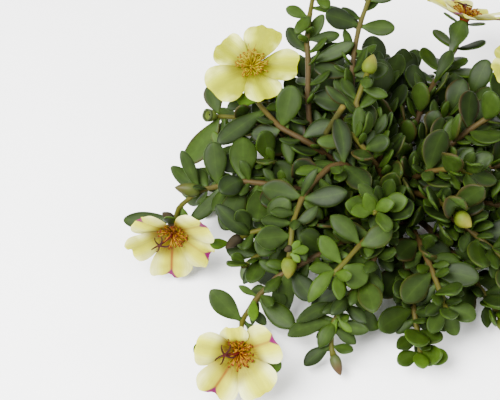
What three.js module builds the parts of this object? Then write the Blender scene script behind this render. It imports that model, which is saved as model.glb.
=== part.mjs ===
// Portulaca: a low, sprawling plant cut at its crown and laid on a surface.
// Leafy stems spread from the crown, and blooms, buds and an open seed capsule end some of them.
// Millimetres, +Z up. The origin is the middle of the crown's flat cut, and the front is -Y.
import * as THREE from "three";

// ---- Driving dimensions ----
const MOUND = { radius: 78, height: 46 };
const CROWN = { radius: 12, middle: 2, sides: 14, tiers: 5 };
const STEM = { foot: 1.45, end: 0.85, ring: 1.2, spacing: 7.6, plain: 11, bud: 2.5 };
const LEAF = { length: 16, shape: 0.6, thick: 1.6, cup: 0.16 };
const BLOOM = { hub: 2.2, hubHeight: 1.0, thick: 1.1 };
const STYLE_START = 0.35;
const PETAL_TWIST = 0.13;
const PETAL_WAVE = 0.0105;
const GAP = 0.3;
const FLOOR = 0.3;
const PROBE = 0.95;
const PROBE_STEP = 1.6;
const RULE_STEMS = 23;
const FOOT_SPACING = 4;
const EVEN_STEPS = [0.7548776662, 0.569840291];
const LEAD_POINTS = 2;
const UP = new THREE.Vector3(0, 0, 1);
const FRONT_LIGHT = new THREE.Vector3(0, -0.45, 0.9);

// How far along a leaf its sections are, how wide each is and how thick.
const LEAF_SECTIONS = [
  { at: 0.42, wide: 0.84, thick: 1.0 },
  { at: 0.8, wide: 0.94, thick: 0.85 },
];
// The same for a petal, before its two lobes.
const PETAL_SECTIONS = [
  { at: 0.26, wide: 0.6 },
  { at: 0.58, wide: 0.97 },
  { at: 0.85, wide: 0.93 },
];

const COLOURS = {
  crown: 0x75604a,
  leaf: 0x5d7d3a,
  lemon: 0xf1ec8e,
  cream: 0xf2efbd,
  gold: 0xd9982e,
  maroon: 0x7a2a30,
};

// ---- Blooms: hub middle, the way the face looks, petal length, width and cup, the style's lean ----
// Each petal is [direction round the face in degrees, size].
const BLOOMS = [
  {
    name: "bloom_top", at: [-58.1, 39.2, 50], face: [-0.06, -0.24, 0.97], colour: "lemon",
    reach: 19, width: 0.43, cup: 0.1, lean: null,
    petals: [[11, 1.03], [84, 1.01], [156, 0.91], [231, 1.09], [305, 0.94]],
  },
  {
    name: "bloom_left", at: [-90.4, -28, 24], face: [-0.09, -0.99, 0.06], colour: "cream",
    reach: 18.6, width: 0.42, cup: 0.4, lean: [-1.2, -0.6],
    petals: [[43, 1.04], [139, 0.92], [199, 0.97], [269, 1.07], [335, 0.95]],
  },
  {
    name: "bloom_front", at: [-63, -84, 20], face: [-0.12, -0.86, 0.5], colour: "cream",
    reach: 16.8, width: 0.44, cup: 0.52, lean: [-1.25, 0.15],
    petals: [[40, 1.04], [103, 0.7], [167, 0.97], [240, 1.06], [310, 1.02]],
  },
  {
    name: "bloom_right", at: [80, -30, 34], face: [0.6, -0.35, 0.72], colour: "cream",
    reach: 18.5, width: 0.43, cup: 0.35, lean: null,
    petals: [[62, 1], [137, 0.95], [206, 1.04], [280, 1], [351, 0.97]],
  },
  {
    name: "bloom_back", at: [38, 84, 36], face: [0.25, 0.5, 0.83], colour: "cream",
    reach: 18.5, width: 0.43, cup: 0.3, lean: [0.5, 0.6],
    petals: [[20, 1.03], [90, 0.96], [163, 1], [238, 0.94], [308, 1.02]],
  },
  {
    name: "bloom_far_right", at: [56, 22, 58], face: [0.3, 0.15, 0.94], colour: "lemon",
    reach: 19, width: 0.43, cup: 0.2, lean: null,
    petals: [[4, 1.02], [78, 0.97], [151, 1.04], [220, 0.9], [292, 1]],
  },
];

// ---- Stems laid by hand: route, what ends it, and leaves as [joint, tip, width, thickness] ----
// "fill" is the range of joints where paired leaves are added by rule.
const LAID_STEMS = [
  {
    name: "stem_top_bloom", end: "bloom_top", fill: [0, 2],
    route: [[-18, 3, 24], [-29, 6, 34], [-37, 9, 38], [-46, 14, 40], [-53, 24, 40], [-57, 31, 41]],
    leaves: [
      [2, [-24, 12, 43], 7], [3, [-42, 25, 53], 10], [3, [-58, 14, 37], 8], [4, [-72, 11, 34], 8],
      [4, [-46, 27, 38], 4], [5, [-68, 28, 37], 5],
    ],
  },
  {
    name: "stem_capsule", end: "capsule", fill: [0, 1],
    route: [[-22, 10, 17], [-38, 14, 26], [-50, 22, 30], [-62, 27, 32], [-74, 28, 32], [-78.4, 26.8, 34.2]],
    leaves: [[1.3, [-51, 10, 36], 8], [3, [-64, 17, 40], 7], [4, [-78, 38, 42], 9], [4, [-90, 14, 21], 11]],
  },
  {
    name: "stem_left_bloom", end: "bloom_left", fill: [0, 1.5],
    route: [
      [-19, -11, 22], [-36, -14, 32], [-49, -12, 33], [-62, -9, 32], [-72, -9, 29], [-80, -9, 26],
      [-88, -15, 23],
    ],
    leaves: [
      [2.3, [-56, -31, 34], 10], [3, [-62, 10, 37], 11], [3, [-70, -28, 25], 10], [3, [-71, -18, 35], 9],
      [4, [-74, 4, 41], 9], [4, [-84, -16, 17], 6], [5, [-87, 2, 38], 5], [5, [-92, 0, 31], 6],
      [5, [-95, -9, 26], 4.8, 4], [6, [-88, -22, 20], 5], [7, [-111, -18, 18], 7],
    ],
  },
  {
    name: "stem_dark_bud", end: "bud", fill: [0, 1.5],
    route: [[-20, -22, 24], [-37, -30, 33], [-50, -33, 32], [-59, -33, 28], [-65, -34, 25], [-69, -36, 22]],
    leaves: [
      [2, [-43, -28, 42], 9], [2, [-55, -45, 29], 9], [3, [-65, -22, 41], 9], [3, [-74, -25, 34], 7],
      [4, [-75, -34, 28], 5], [4, [-63, -44, 19], 5],
    ],
  },
  {
    name: "stem_front_bloom", end: "bloom_front", fill: [0, 0.5],
    route: [[-18, -33, 24], [-30, -44, 29], [-40, -48, 26], [-48, -50, 21], [-56, -57, 17], [-62, -67, 15]],
    leaves: [
      [1, [-39, -42, 38], 9], [2.3, [-34, -60, 20], 9], [2.3, [-50, -64, 9], 7], [3, [-39, -59, 10], 7],
      [4, [-63, -54, 20], 3],
      [4, [-42, -69, 14], 9], [4, [-58, -66, 11], 4], [5, [-74, -58, 23], 9], [5, [-50, -77, 6], 6],
    ],
  },
  {
    name: "stem_front_bud", end: "bud", fill: [0, 1],
    route: [[-10, -47, 30], [-16, -56, 27], [-22, -63, 19], [-26, -68, 15], [-27, -76, 10], [-23.5, -86, 5]],
    leaves: [
      [1.5, [-34, -60, 14], 7], [2, [-41, -67, 15], 6], [2, [-9, -69, 13], 8], [3, [-43, -74, 10], 7],
      [3, [-32, -77, 11], 6],
      [3, [-13, -73, 14], 6], [4, [-37, -82, 6], 6], [4, [-19, -81, 9], 5],
    ],
  },
  {
    name: "stem_green_bud", end: "bud", fill: [0, 0.5],
    route: [
      [-11, -8, 30], [-18, -8, 40], [-27, -12, 44], [-38, -26, 42], [-42, -37, 39], [-43, -45, 35],
      [-44, -54.5, 26],
    ],
    leaves: [
      [1.4, [-12, -25, 47], 10], [1.4, [-24, 8, 51], 8], [2, [-24, -20, 50], 5], [3, [-21, -27, 47], 9],
      [3, [-32, -20, 52], 4], [3, [-53, -22, 47], 10], [4, [-33, -32, 44], 5], [4, [-54, -38, 42], 6],
      [4.6, [-56, -45, 39], 10], [4.8, [-37, -50, 38], 5.5],
    ],
  },
  {
    name: "stem_front_rosette", end: "tip", fill: [0, 0.5],
    route: [[-7, -34, 34], [-16, -47, 38], [-23, -55, 36], [-28, -59, 33]],
    leaves: [
      [1, [-4, -42, 43], 9], [1, [-27, -37, 43], 8], [2, [-14, -60, 32], 11], [2, [-31, -46, 42], 7],
      [3, [-20, -61, 38], 5], [3, [-25, -68, 31], 6], [3, [-36, -68, 28], 6], [3, [-36, -59, 38], 5],
    ],
  },
  {
    name: "stem_tall_left", end: "tip", fill: [0, 1.5],
    route: [
      [-14, 9, 19], [-27, 13, 27], [-33, 18, 35], [-34.5, 27, 45], [-34.5, 38, 55], [-35, 45, 61],
      [-34, 52, 67], [-32, 62, 72], [-30, 68, 75],
    ],
    leaves: [
      [2, [-25, 4, 45], 8], [3, [-20, 23, 44], 9], [4, [-15, 41, 59], 6], [4.5, [-43, 51, 57], 6.5],
      [5, [-22, 46, 63], 5], [5, [-28, 53, 68], 6], [6, [-43, 56, 69], 5], [6, [-40, 43, 66], 5],
      [7, [-27, 52, 72], 5], [7, [-24, 70, 74], 5], [8, [-36, 76, 78], 5], [8, [-24, 77, 79], 5],
    ],
  },
  {
    name: "stem_tall_right", end: "tip", fill: [0, 1],
    route: [
      [1, 5, 22], [-7, 11, 34], [-15, 21, 43], [-16, 33, 52], [-15, 41, 59], [-13, 48, 66], [-9, 57, 73],
      [-5, 66, 77],
    ],
    leaves: [
      [2, [-30, 25, 44], 8], [3, [-31, 37, 53], 7], [3, [-2, 32, 57], 7], [4, [-8, 33, 58], 4.5],
      [4, [-31, 42, 58], 8], [5, [-28, 50, 70], 9], [5, [1, 46, 67], 7], [6, [-17, 62, 78], 6],
      [6, [2, 58, 78], 6], [7, [-11, 74, 82], 5], [7, [4, 72, 82], 5],
    ],
  },
  {
    name: "stem_tall_green", end: "bud", fill: [0, 1],
    route: [[-5, 2, 34], [-10, 7, 45], [-15, 16, 51], [-13, 21, 56], [-10, 27, 61], [-8, 32, 65]],
    leaves: [
      [2, [-27, 22, 57], 5], [2, [-24, 28, 54], 6], [3, [-3, 17, 56], 5], [4, [-12, 17, 60], 5],
      [4, [-3, 32, 64], 5],
    ],
  },
  {
    name: "stem_middle", end: "tip", fill: [0, 1],
    route: [[-4, -5, 31], [-12, -1, 43], [-19, 4, 49]],
    leaves: [
      [1, [-3, -3, 50], 7], [1, [-14, -13, 47], 9], [2, [-15, 11, 55], 5], [2, [-25, 8, 55], 5],
      [2, [-22, -4, 52], 6], [2, [-31, 1, 50], 6],
    ],
  },
  {
    name: "stem_front_middle", end: "tip", fill: [0, 1],
    route: [[-4, -22, 34], [-8, -33, 44], [-11, -39, 47]],
    leaves: [
      [1, [2, -34, 50], 8], [1, [-21, -33, 47], 9], [2, [-19, -40, 49], 6], [2, [-7, -48, 45], 7],
      [2, [-3, -38, 52], 6], [2, [-14, -33, 54], 6],
    ],
  },
  {
    name: "stem_left_low", end: "tip", fill: [0, 3],
    route: [[-22, -14, 16], [-40, -26, 20], [-54, -36, 19], [-63, -42, 16]],
    leaves: [],
  },
  {
    name: "stem_left_middle", end: "tip", fill: [0, 1.5],
    route: [[-20, -3, 20], [-38, 0, 29], [-52, 3, 31], [-61, 5, 29]],
    leaves: [
      [2, [-54, 14, 38], 9], [2, [-52, -8, 42], 8], [3, [-71, 9, 33], 7], [3, [-72, 2, 36], 8],
      [3, [-66, 16, 35], 7],
    ],
  },
  {
    name: "stem_right_bloom", end: "bloom_right", fill: [0, 3],
    route: [[22, -8, 18], [40, -16, 26], [57, -22, 28], [69, -26, 28]],
    leaves: [],
  },
  {
    name: "stem_back_bloom", end: "bloom_back", fill: [0, 3],
    route: [[9, 22, 20], [18, 42, 28], [27, 60, 29], [34, 73, 29]],
    leaves: [],
  },
  {
    name: "stem_far_right_bloom", end: "bloom_far_right", fill: [0, 2],
    route: [[15, 5, 26], [32, 12, 40], [46, 18, 47]],
    leaves: [],
  },
];

// ---- Seeded draws ----
function drawer(seed) {
  let state = seed;
  return (low, high) => {
    state = (state + 0x6d2b79f5) | 0;
    let t = Math.imul(state ^ (state >>> 15), 1 | state);
    t = (t + Math.imul(t ^ (t >>> 7), 61 | t)) ^ t;
    return low + (high - low) * (((t ^ (t >>> 14)) >>> 0) / 4294967296);
  };
}

const vector = (list) => new THREE.Vector3(...list);
const turned = (list, turn) => list.map((_, k) => list[(k + turn) % list.length]);

// ---- A closed skin under construction ----
class Skin {
  constructor() {
    this.points = [];
    this.faces = [];
  }

  add(points) {
    return points.map((point) => this.points.push(point.clone()) - 1);
  }

  // Sides between two rings. The sides in "open" are left for what grows there.
  wrap(low, high, open = []) {
    low.forEach((a, k) => {
      const b = (k + 1) % low.length;
      if (open.includes(k)) return;
      this.faces.push([a, low[b], high[b]], [a, high[b], high[k]]);
    });
  }

  // Sides of a blade, each cut from its edge point, so that both faces are cut alike.
  crease(low, high, turn) {
    low.forEach((a, k) => {
      const b = (k + 1) % low.length;
      const fromEdge = (k + turn) % 2 === 0;
      if (fromEdge) this.faces.push([a, low[b], high[b]], [a, high[b], high[k]]);
      else this.faces.push([a, low[b], high[k]], [low[b], high[b], high[k]]);
    });
  }

  point(ring, tip) {
    ring.forEach((a, k) => this.faces.push([a, ring[(k + 1) % ring.length], tip]));
  }

  foot(ring) {
    for (let k = 1; k < ring.length - 1; k += 1) this.faces.push([ring[0], ring[k + 1], ring[k]]);
  }

  lid(ring) {
    for (let k = 1; k < ring.length - 1; k += 1) this.faces.push([ring[0], ring[k], ring[k + 1]]);
  }

  mesh(name, colour, roughness) {
    const geometry = new THREE.BufferGeometry();
    const flat = this.points.flatMap((point) => point.toArray());
    geometry.setAttribute("position", new THREE.Float32BufferAttribute(flat, 3));
    geometry.setIndex(this.faces.flat());
    geometry.computeVertexNormals();
    const material = new THREE.MeshStandardMaterial({ color: colour, roughness, metalness: 0 });
    const mesh = new THREE.Mesh(geometry, material);
    mesh.name = name;
    return mesh;
  }
}

// The turn that joins a ring to a root with the least twist.
function bestTurn(root, ring) {
  const apart = (turn) => (p, k) => p.distanceToSquared(ring[(k + turn) % ring.length]);
  const miss = (turn) => root.map(apart(turn)).reduce((sum, value) => sum + value, 0);
  return [0, 1, 2, 3].reduce((best, turn) => (miss(turn) < miss(best) ? turn : best), 0);
}

// ---- Room: what is already taken, as small balls ----
class Room {
  constructor() {
    this.cells = new Map();
    this.size = 5.5;
  }

  key(point, dx = 0, dy = 0, dz = 0) {
    const cell = (value, shift) => Math.floor(value / this.size) + shift;
    return `${cell(point.x, dx)},${cell(point.y, dy)},${cell(point.z, dz)}`;
  }

  take(balls) {
    balls.forEach((ball) => {
      const key = this.key(ball.point);
      if (!this.cells.has(key)) this.cells.set(key, []);
      this.cells.get(key).push(ball);
    });
  }

  near(point) {
    const shifts = [-1, 0, 1];
    return shifts.flatMap((dx) => shifts.flatMap((dy) => shifts.flatMap((dz) => (
      this.cells.get(this.key(point, dx, dy, dz)) ?? []
    ))));
  }

  // True when each ball keeps its gap from all that is taken, but for what "skip" lets pass.
  clear(balls, skip = () => false) {
    return balls.every((ball) => this.near(ball.point).every((other) => {
      const apart = ball.radius + other.radius + GAP;
      return other.point.distanceToSquared(ball.point) >= apart * apart || skip(other);
    }));
  }
}

// ---- Stem line: a smooth route with a side direction carried along it ----
class Line {
  constructor(points, steps = 320) {
    const curve = new THREE.CatmullRomCurve3(points, false, "catmullrom", 0.5);
    this.steps = steps;
    this.parts = points.length - 1;
    this.points = curve.getPoints(steps);
    this.runs = this.points.map((_, k) => curve.getTangent(k / steps).normalize());
    this.lengths = [0];
    for (let k = 1; k <= steps; k += 1) {
      this.lengths.push(this.lengths[k - 1] + this.points[k].distanceTo(this.points[k - 1]));
    }
    this.length = this.lengths[steps];
    this.sides = this.carrySides();
  }

  carrySides() {
    const start = Math.abs(this.runs[0].z) < 0.9 ? UP : new THREE.Vector3(1, 0, 0);
    const sides = [new THREE.Vector3().crossVectors(start, this.runs[0]).normalize()];
    for (let k = 1; k <= this.steps; k += 1) {
      const side = sides[k - 1].clone();
      side.addScaledVector(this.runs[k], -side.dot(this.runs[k])).normalize();
      sides.push(side);
    }
    return sides;
  }

  // The distance along the line of the route's own point.
  distanceOf(index) {
    return this.lengths[Math.round((index / this.parts) * this.steps)];
  }

  at(distance) {
    const wanted = Math.min(Math.max(distance, 0), this.length);
    let k = 0;
    while (k < this.steps - 1 && this.lengths[k + 1] < wanted) k += 1;
    const part = (wanted - this.lengths[k]) / (this.lengths[k + 1] - this.lengths[k]);
    const point = this.points[k].clone().lerp(this.points[k + 1], part);
    const run = this.runs[k].clone().lerp(this.runs[k + 1], part).normalize();
    const side = this.sides[k].clone();
    side.addScaledVector(run, -side.dot(run)).normalize();
    return { point, run, side };
  }

  ring(distance, radius, roll) {
    const { point, run, side } = this.at(distance);
    const across = new THREE.Vector3().crossVectors(run, side);
    return [0, 1, 2, 3].map((k) => {
      const angle = roll + Math.PI / 4 + (k * Math.PI) / 2;
      const out = side.clone().multiplyScalar(Math.cos(angle)).addScaledVector(across, Math.sin(angle));
      return point.clone().addScaledVector(out, radius * 1.12);
    });
  }

  balls(thickness, owner) {
    const balls = [];
    for (let along = 0; along <= this.length; along += 1.5) {
      balls.push({ point: this.at(along).point, radius: thickness(along) + 0.15, owner, along });
    }
    return balls;
  }
}

// ---- Leaf form: a bent, fleshy, obovate blade with a full middle and raised edges ----
class LeafForm {
  constructor({ root, out, way, length, wide, thick = LEAF.thick, light, roll = 0 }) {
    this.root = root;
    this.wide = wide;
    this.thick = thick;
    this.length = length;
    this.tip = root.clone().addScaledVector(way, length);
    this.bend = root.clone().addScaledVector(out, length * 0.22).addScaledVector(way, length * 0.28);
    this.light = light;
    this.roll = roll;
  }

  // The middle line's point with the directions along, across and out of the upper face.
  frame(t) {
    const a = this.root.clone().lerp(this.bend, t);
    const b = this.bend.clone().lerp(this.tip, t);
    const run = b.clone().sub(a).normalize();
    const face = this.light.clone().addScaledVector(run, -this.light.dot(run)).normalize();
    face.applyAxisAngle(run, this.roll);
    const across = new THREE.Vector3().crossVectors(run, face);
    return { point: a.lerp(b, t), run, face, across };
  }

  section({ at, wide, thick }) {
    const { point, face, across } = this.frame(at);
    const half = (this.wide / 2) * wide;
    const deep = (this.thick / 2) * thick;
    const cup = this.thick > LEAF.thick ? 0 : half * LEAF.cup;
    return [
      point.clone().addScaledVector(across, half).addScaledVector(face, cup),
      point.clone().addScaledVector(face, -deep),
      point.clone().addScaledVector(across, -half).addScaledVector(face, cup),
      point.clone().addScaledVector(face, deep),
    ];
  }

  halfWidth(t) {
    const marks = [{ at: 0, wide: 0.3 }, ...LEAF_SECTIONS, { at: 1, wide: 0 }];
    const k = marks.findIndex((mark) => mark.at >= t);
    const part = (t - marks[k - 1].at) / (marks[k].at - marks[k - 1].at);
    return (this.wide / 2) * THREE.MathUtils.lerp(marks[k - 1].wide, marks[k].wide, part);
  }

  // Balls that cover the blade past its narrow root.
  balls(owner, joint) {
    const balls = [];
    const rows = Math.ceil((0.85 * this.length) / PROBE_STEP);
    const radius = Math.max(PROBE, this.thick / 2 + 0.1);
    for (let row = 0; row <= rows; row += 1) {
      const t = 0.15 + (0.85 * row) / rows;
      const { point, face, across } = this.frame(t);
      const reach = Math.max(this.halfWidth(t) - 0.5, 0);
      const columns = Math.ceil((2 * reach) / PROBE_STEP);
      for (let column = 0; column <= columns; column += 1) {
        const aside = columns === 0 ? 0 : reach * ((2 * column) / columns - 1);
        const cup = Math.abs(aside) * LEAF.cup;
        const middle = point.clone().addScaledVector(across, aside).addScaledVector(face, cup);
        balls.push({ point: middle, radius, owner, joint });
      }
    }
    return balls;
  }

  lowest() {
    const corners = LEAF_SECTIONS.flatMap((section) => this.section(section));
    return Math.min(this.tip.z, ...corners.map((corner) => corner.z));
  }
}

function growLeaf(skin, root, form) {
  const rootPoints = root.map((index) => skin.points[index]);
  const sections = LEAF_SECTIONS.map((section) => form.section(section));
  const turn = bestTurn(rootPoints, sections[0]);
  const rings = sections.map((section) => skin.add(turned(section, turn)));
  skin.wrap(root, rings[0]);
  skin.crease(rings[0], rings[1], turn);
  skin.point(rings[1], skin.add([form.tip])[0]);
}

// ---- Stems ----
// The ways a leaf may bend clear of another: lift, swing, scale and roll, in the order that they are tried.
const BENDS = [[0, 0], [0.25, 0], [-0.25, 0], [0, 0.3], [0, -0.3], [0.55, 0], [0.2, 0.6], [0.2, -0.6]];
const ROLLS = [0, 0.35, -0.35];
const TRIES = [1, 0.85, 0.7].flatMap((scale) => (
  BENDS.flatMap(([lift, swing]) => ROLLS.map((roll) => ({ scale, lift, swing, roll })))
));

class Stem {
  constructor(name, route, end) {
    this.name = name;
    this.end = end;
    this.line = new Line(route);
    this.joints = [];
  }

  thickness(along) {
    return THREE.MathUtils.lerp(STEM.foot, STEM.end, Math.min(along / this.line.length, 1));
  }

  get reach() {
    return this.line.length - END_LENGTHS[this.end.startsWith("bloom") ? "bloom" : this.end];
  }

  addJoint(along, roll) {
    const inside = THREE.MathUtils.clamp(along, 3, this.reach - STEM.ring);
    const crowded = this.joints.some((joint) => Math.abs(joint.along - inside) < 3.2);
    if (crowded) return null;
    const joint = { along: inside, roll, leaves: [null, null, null, null] };
    this.joints.push(joint);
    return joint;
  }

  sideOut(joint, side) {
    const { run, side: across } = this.line.at(joint.along);
    return across.clone().applyAxisAngle(run, joint.roll + ((side + 1) * Math.PI) / 2);
  }

  // The free side of a joint that looks most nearly the given way.
  freeSide(joint, way) {
    const free = [0, 1, 2, 3].filter((side) => joint.leaves[side] === null);
    const match = (side) => this.sideOut(joint, side).dot(way);
    return free.reduce((best, side) => (best === -1 || match(side) > match(best) ? side : best), -1);
  }

  balls(owner) {
    const swollen = this.end === "bud" || this.end === "capsule";
    const radius = (along) => (swollen && along > this.reach ? STEM.bud : this.thickness(along));
    return this.line.balls(radius, owner);
  }
}

const END_LENGTHS = { tip: 1.6, bud: 8.5, capsule: 5.5, bloom: 3.4 };

// Sets a leaf where it has room, as asked or bent clear. Returns false where nothing fits.
function setLeaf(room, stem, joint, side, wish) {
  const out = stem.sideOut(joint, side);
  const { point, run } = stem.line.at(joint.along);
  const root = point.clone().addScaledVector(out, stem.thickness(joint.along) * 0.75);
  const ownPart = (other) => other.owner === stem.name
    && (other.joint === joint || (other.along !== undefined && Math.abs(other.along - joint.along) < 4));
  const sideways = new THREE.Vector3().crossVectors(run, wish.way).normalize();
  for (const { scale, lift, swing, roll } of TRIES) {
    const way = wish.way.clone().addScaledVector(UP, lift).addScaledVector(sideways, swing).normalize();
    const size = { length: wish.length * scale, wide: wish.wide * scale };
    const form = new LeafForm({ ...wish, ...size, root, out, way, roll });
    const balls = form.balls(stem.name, joint);
    if (form.lowest() > FLOOR && room.clear(balls, ownPart)) {
      joint.leaves[side] = form;
      room.take(balls);
      return true;
    }
  }
  return false;
}

function laidLeaves(room, stem, plan) {
  const joints = new Map();
  plan.leaves.forEach(([index, tip, wide, thick]) => {
    if (!joints.has(index)) {
      const along = stem.line.distanceOf(index + LEAD_POINTS);
      const { point, run, side } = stem.line.at(along);
      const way = vector(tip).sub(point);
      way.addScaledVector(run, -way.dot(run));
      const across = new THREE.Vector3().crossVectors(run, side);
      const roll = Math.atan2(way.dot(across), way.dot(side)) - Math.PI / 2;
      joints.set(index, stem.addJoint(along, roll));
    }
    const joint = joints.get(index);
    if (joint === null) return;
    const way = vector(tip).sub(stem.line.at(joint.along).point);
    const side = stem.freeSide(joint, way);
    const length = way.length();
    setLeaf(room, stem, joint, side, { way: way.normalize(), length, wide, thick, light: FRONT_LIGHT });
  });
}

// A pair of leaves by rule, leaning toward the stem's end and turned to the light.
function ruleLeaf(room, stem, joint, side, draw, size) {
  const out = stem.sideOut(joint, side);
  const { point, run } = stem.line.at(joint.along);
  const lean = draw(0.45, 0.95);
  const length = LEAF.length * size * draw(0.86, 1.14);
  const way = out.clone().multiplyScalar(Math.cos(lean)).addScaledVector(run, Math.sin(lean));
  way.addScaledVector(UP, point.z < 14 && way.z < 0.1 ? 0.25 - way.z : 0.12).normalize();
  const light = new THREE.Vector3(point.x, point.y, 0).normalize().multiplyScalar(0.55).add(UP);
  setLeaf(room, stem, joint, side, { way, length, wide: length * LEAF.shape * draw(0.9, 1.1), light });
}

function leafSize(stem, along) {
  const part = along / stem.line.length;
  return part < 0.8 ? 0.8 + 0.35 * part : THREE.MathUtils.mapLinear(part, 0.8, 1, 1.05, 0.6);
}

// Paired joints from one distance to another, each pair a quarter turn from the last.
function ruleJoints(stem, from, to, draw) {
  const joints = [];
  const count = Math.max(Math.floor((to - from) / STEM.spacing), 0);
  for (let k = 0; k <= count; k += 1) {
    const along = count === 0 ? to : from + ((to - from) * k) / count;
    const joint = stem.addJoint(along, draw(-0.25, 0.25));
    if (joint) joints.push({ joint, sides: k % 2 === 0 ? [0, 2] : [1, 3] });
  }
  return joints;
}

// ---- Where the stems made by rule end, spread evenly over the mound ----
function domePoint(azimuth, polar, radius, height, base = 0) {
  const flat = Math.sin(polar) * radius;
  const high = base + Math.cos(polar) * height;
  return new THREE.Vector3(Math.cos(azimuth) * flat, Math.sin(azimuth) * flat, high);
}

function tipChoices() {
  return Array.from({ length: 500 }, (_, k) => {
    const polar = Math.acos(1 - 0.985 * ((k * EVEN_STEPS[0]) % 1));
    const azimuth = 2 * Math.PI * ((k * EVEN_STEPS[1]) % 1);
    const radius = MOUND.radius * (polar > 1.2 ? 1.05 : 1);
    return { tip: domePoint(azimuth, polar, radius, MOUND.height, 5), azimuth, polar };
  });
}

// Each next stem ends in the widest gap that is left.
function ruleTips() {
  const taken = LAID_STEMS.flatMap(({ route, leaves }) => (
    [...route.slice(2), ...leaves.map(([, tip]) => tip)].map(vector)
  ));
  const choices = tipChoices();
  const gap = ({ tip }) => Math.min(...taken.map((other) => other.distanceTo(tip)));
  return Array.from({ length: RULE_STEMS }, () => {
    const widest = choices.reduce((best, choice) => (gap(choice) > gap(best) ? choice : best));
    taken.push(widest.tip, ruleRoute(widest, 0)[1]);
    return widest;
  });
}

function ruleRoute({ tip, azimuth, polar }, shift) {
  const inner = 0.62 * polar;
  const turn = azimuth + shift;
  const first = domePoint(turn, inner, 26, 24, CROWN.middle + 1);
  const second = domePoint(turn + shift * 0.3, 0.8 * polar, MOUND.radius * 0.64, MOUND.height * 0.8, 5);
  second.lerp(tip, 0.12);
  if (polar > 1.25) second.z = Math.max(second.z, 7);
  return [first, second, tip];
}

// The first point of a stem, just off the crown.
function crownStart(toward) {
  const middle = new THREE.Vector3(0, 0, CROWN.middle);
  const way = toward.clone().sub(middle).normalize();
  way.z = Math.max(way.z, 0.09);
  return middle.addScaledVector(way.normalize(), CROWN.radius + GAP + 0.1);
}

// A stem's first two points: its foot, and a point straight out from it.
function leadIn(foot) {
  const way = foot.clone().setZ(foot.z - CROWN.middle).normalize();
  return [foot, foot.clone().addScaledVector(way, 4)];
}

// Moves the stems' feet apart over the crown.
function spreadFeet(feet) {
  for (let round = 0; round < 80; round += 1) {
    feet.forEach((foot) => feet.forEach((other) => {
      const apart = foot.distanceTo(other);
      if (foot === other || apart > FOOT_SPACING) return;
      const push = foot.clone().sub(other).setLength((FOOT_SPACING - apart) * 0.4);
      foot.copy(crownStart(foot.clone().add(push)));
    }));
  }
}

// ---- Building a stem's skin ----
function openSides(joint) {
  return [0, 1, 2, 3].filter((side) => joint.leaves[side] !== null);
}

function stemMarks(stem) {
  const marks = stem.joints.filter((joint) => openSides(joint).length > 0);
  marks.sort((a, b) => a.along - b.along);
  return marks;
}

// A roll a quarter turn or less from the last, so that the sides don't twist.
function nearRoll(roll, last) {
  const quarter = Math.PI / 2;
  const turns = Math.round((last - roll) / quarter);
  return { roll: roll + turns * quarter, turns: ((turns % 4) + 4) % 4 };
}

function plainRings(skin, stem, from, to, rings) {
  const count = Math.floor((to - from) / STEM.plain);
  for (let k = 1; k <= count; k += 1) {
    const along = from + ((to - from) * k) / (count + 1);
    const last = rings[rings.length - 1];
    const ring = skin.add(stem.line.ring(along, stem.thickness(along), last.roll));
    skin.wrap(last.ring, ring);
    rings.push({ ring, roll: last.roll });
  }
}

function buildStem(stem) {
  const skin = new Skin();
  const marks = stemMarks(stem);
  const startRoll = marks.length ? marks[0].roll : 0;
  const rings = [{ ring: skin.add(stem.line.ring(0, stem.thickness(0), startRoll)), roll: startRoll }];
  skin.foot(rings[0].ring);
  let reached = 0;
  marks.forEach((joint) => {
    plainRings(skin, stem, reached, joint.along - STEM.ring, rings);
    const last = rings[rings.length - 1];
    const { roll, turns } = nearRoll(joint.roll, last.roll);
    const radius = stem.thickness(joint.along);
    const low = skin.add(stem.line.ring(joint.along - STEM.ring, radius, roll));
    const high = skin.add(stem.line.ring(joint.along + STEM.ring, radius, roll));
    skin.wrap(last.ring, low);
    const sides = openSides(joint).map((side) => ({ side, face: (side - turns + 4) % 4 }));
    skin.wrap(low, high, sides.map(({ face }) => face));
    sides.forEach(({ side, face }) => {
      const next = (face + 1) % 4;
      growLeaf(skin, [low[face], low[next], high[next], high[face]], joint.leaves[side]);
    });
    rings.push({ ring: high, roll });
    reached = joint.along + STEM.ring;
  });
  plainRings(skin, stem, reached, stem.reach, rings);
  finishStem(skin, stem, rings[rings.length - 1]);
  return skin.mesh(stem.name, COLOURS.leaf, 0.5);
}

// Rings at distances before the end of the line, as [distance, radius].
const END_RINGS = {
  tip: [[1.6, 0.9]],
  bud: [[8.2, 1.3], [6.2, 2.3], [3.4, 2.5], [1.2, 1.3]],
  capsule: [[5.3, 1.2], [3.4, 2.3], [0, 2.6]],
  bloom: [[3.2, 1.1], [0, 1.9]],
};

function finishStem(skin, stem, last) {
  const kind = stem.end.startsWith("bloom") ? "bloom" : stem.end;
  const { line } = stem;
  let ring = last.ring;
  END_RINGS[kind].forEach(([before, radius]) => {
    const next = skin.add(line.ring(line.length - before, radius, last.roll));
    skin.wrap(ring, next);
    ring = next;
  });
  if (kind === "bloom") skin.lid(ring);
  else if (kind === "capsule") hollowEnd(skin, line, ring, last.roll);
  else skin.point(ring, skin.add([line.at(line.length).point])[0]);
}

// The open seed capsule: a rim, an inner wall and a floor.
function hollowEnd(skin, line, rim, roll) {
  const mouth = skin.add(line.ring(line.length, 1.7, roll));
  const floor = skin.add(line.ring(line.length - 2.2, 1.3, roll));
  skin.wrap(rim, mouth);
  skin.wrap(mouth, floor);
  skin.lid(floor);
}

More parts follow.
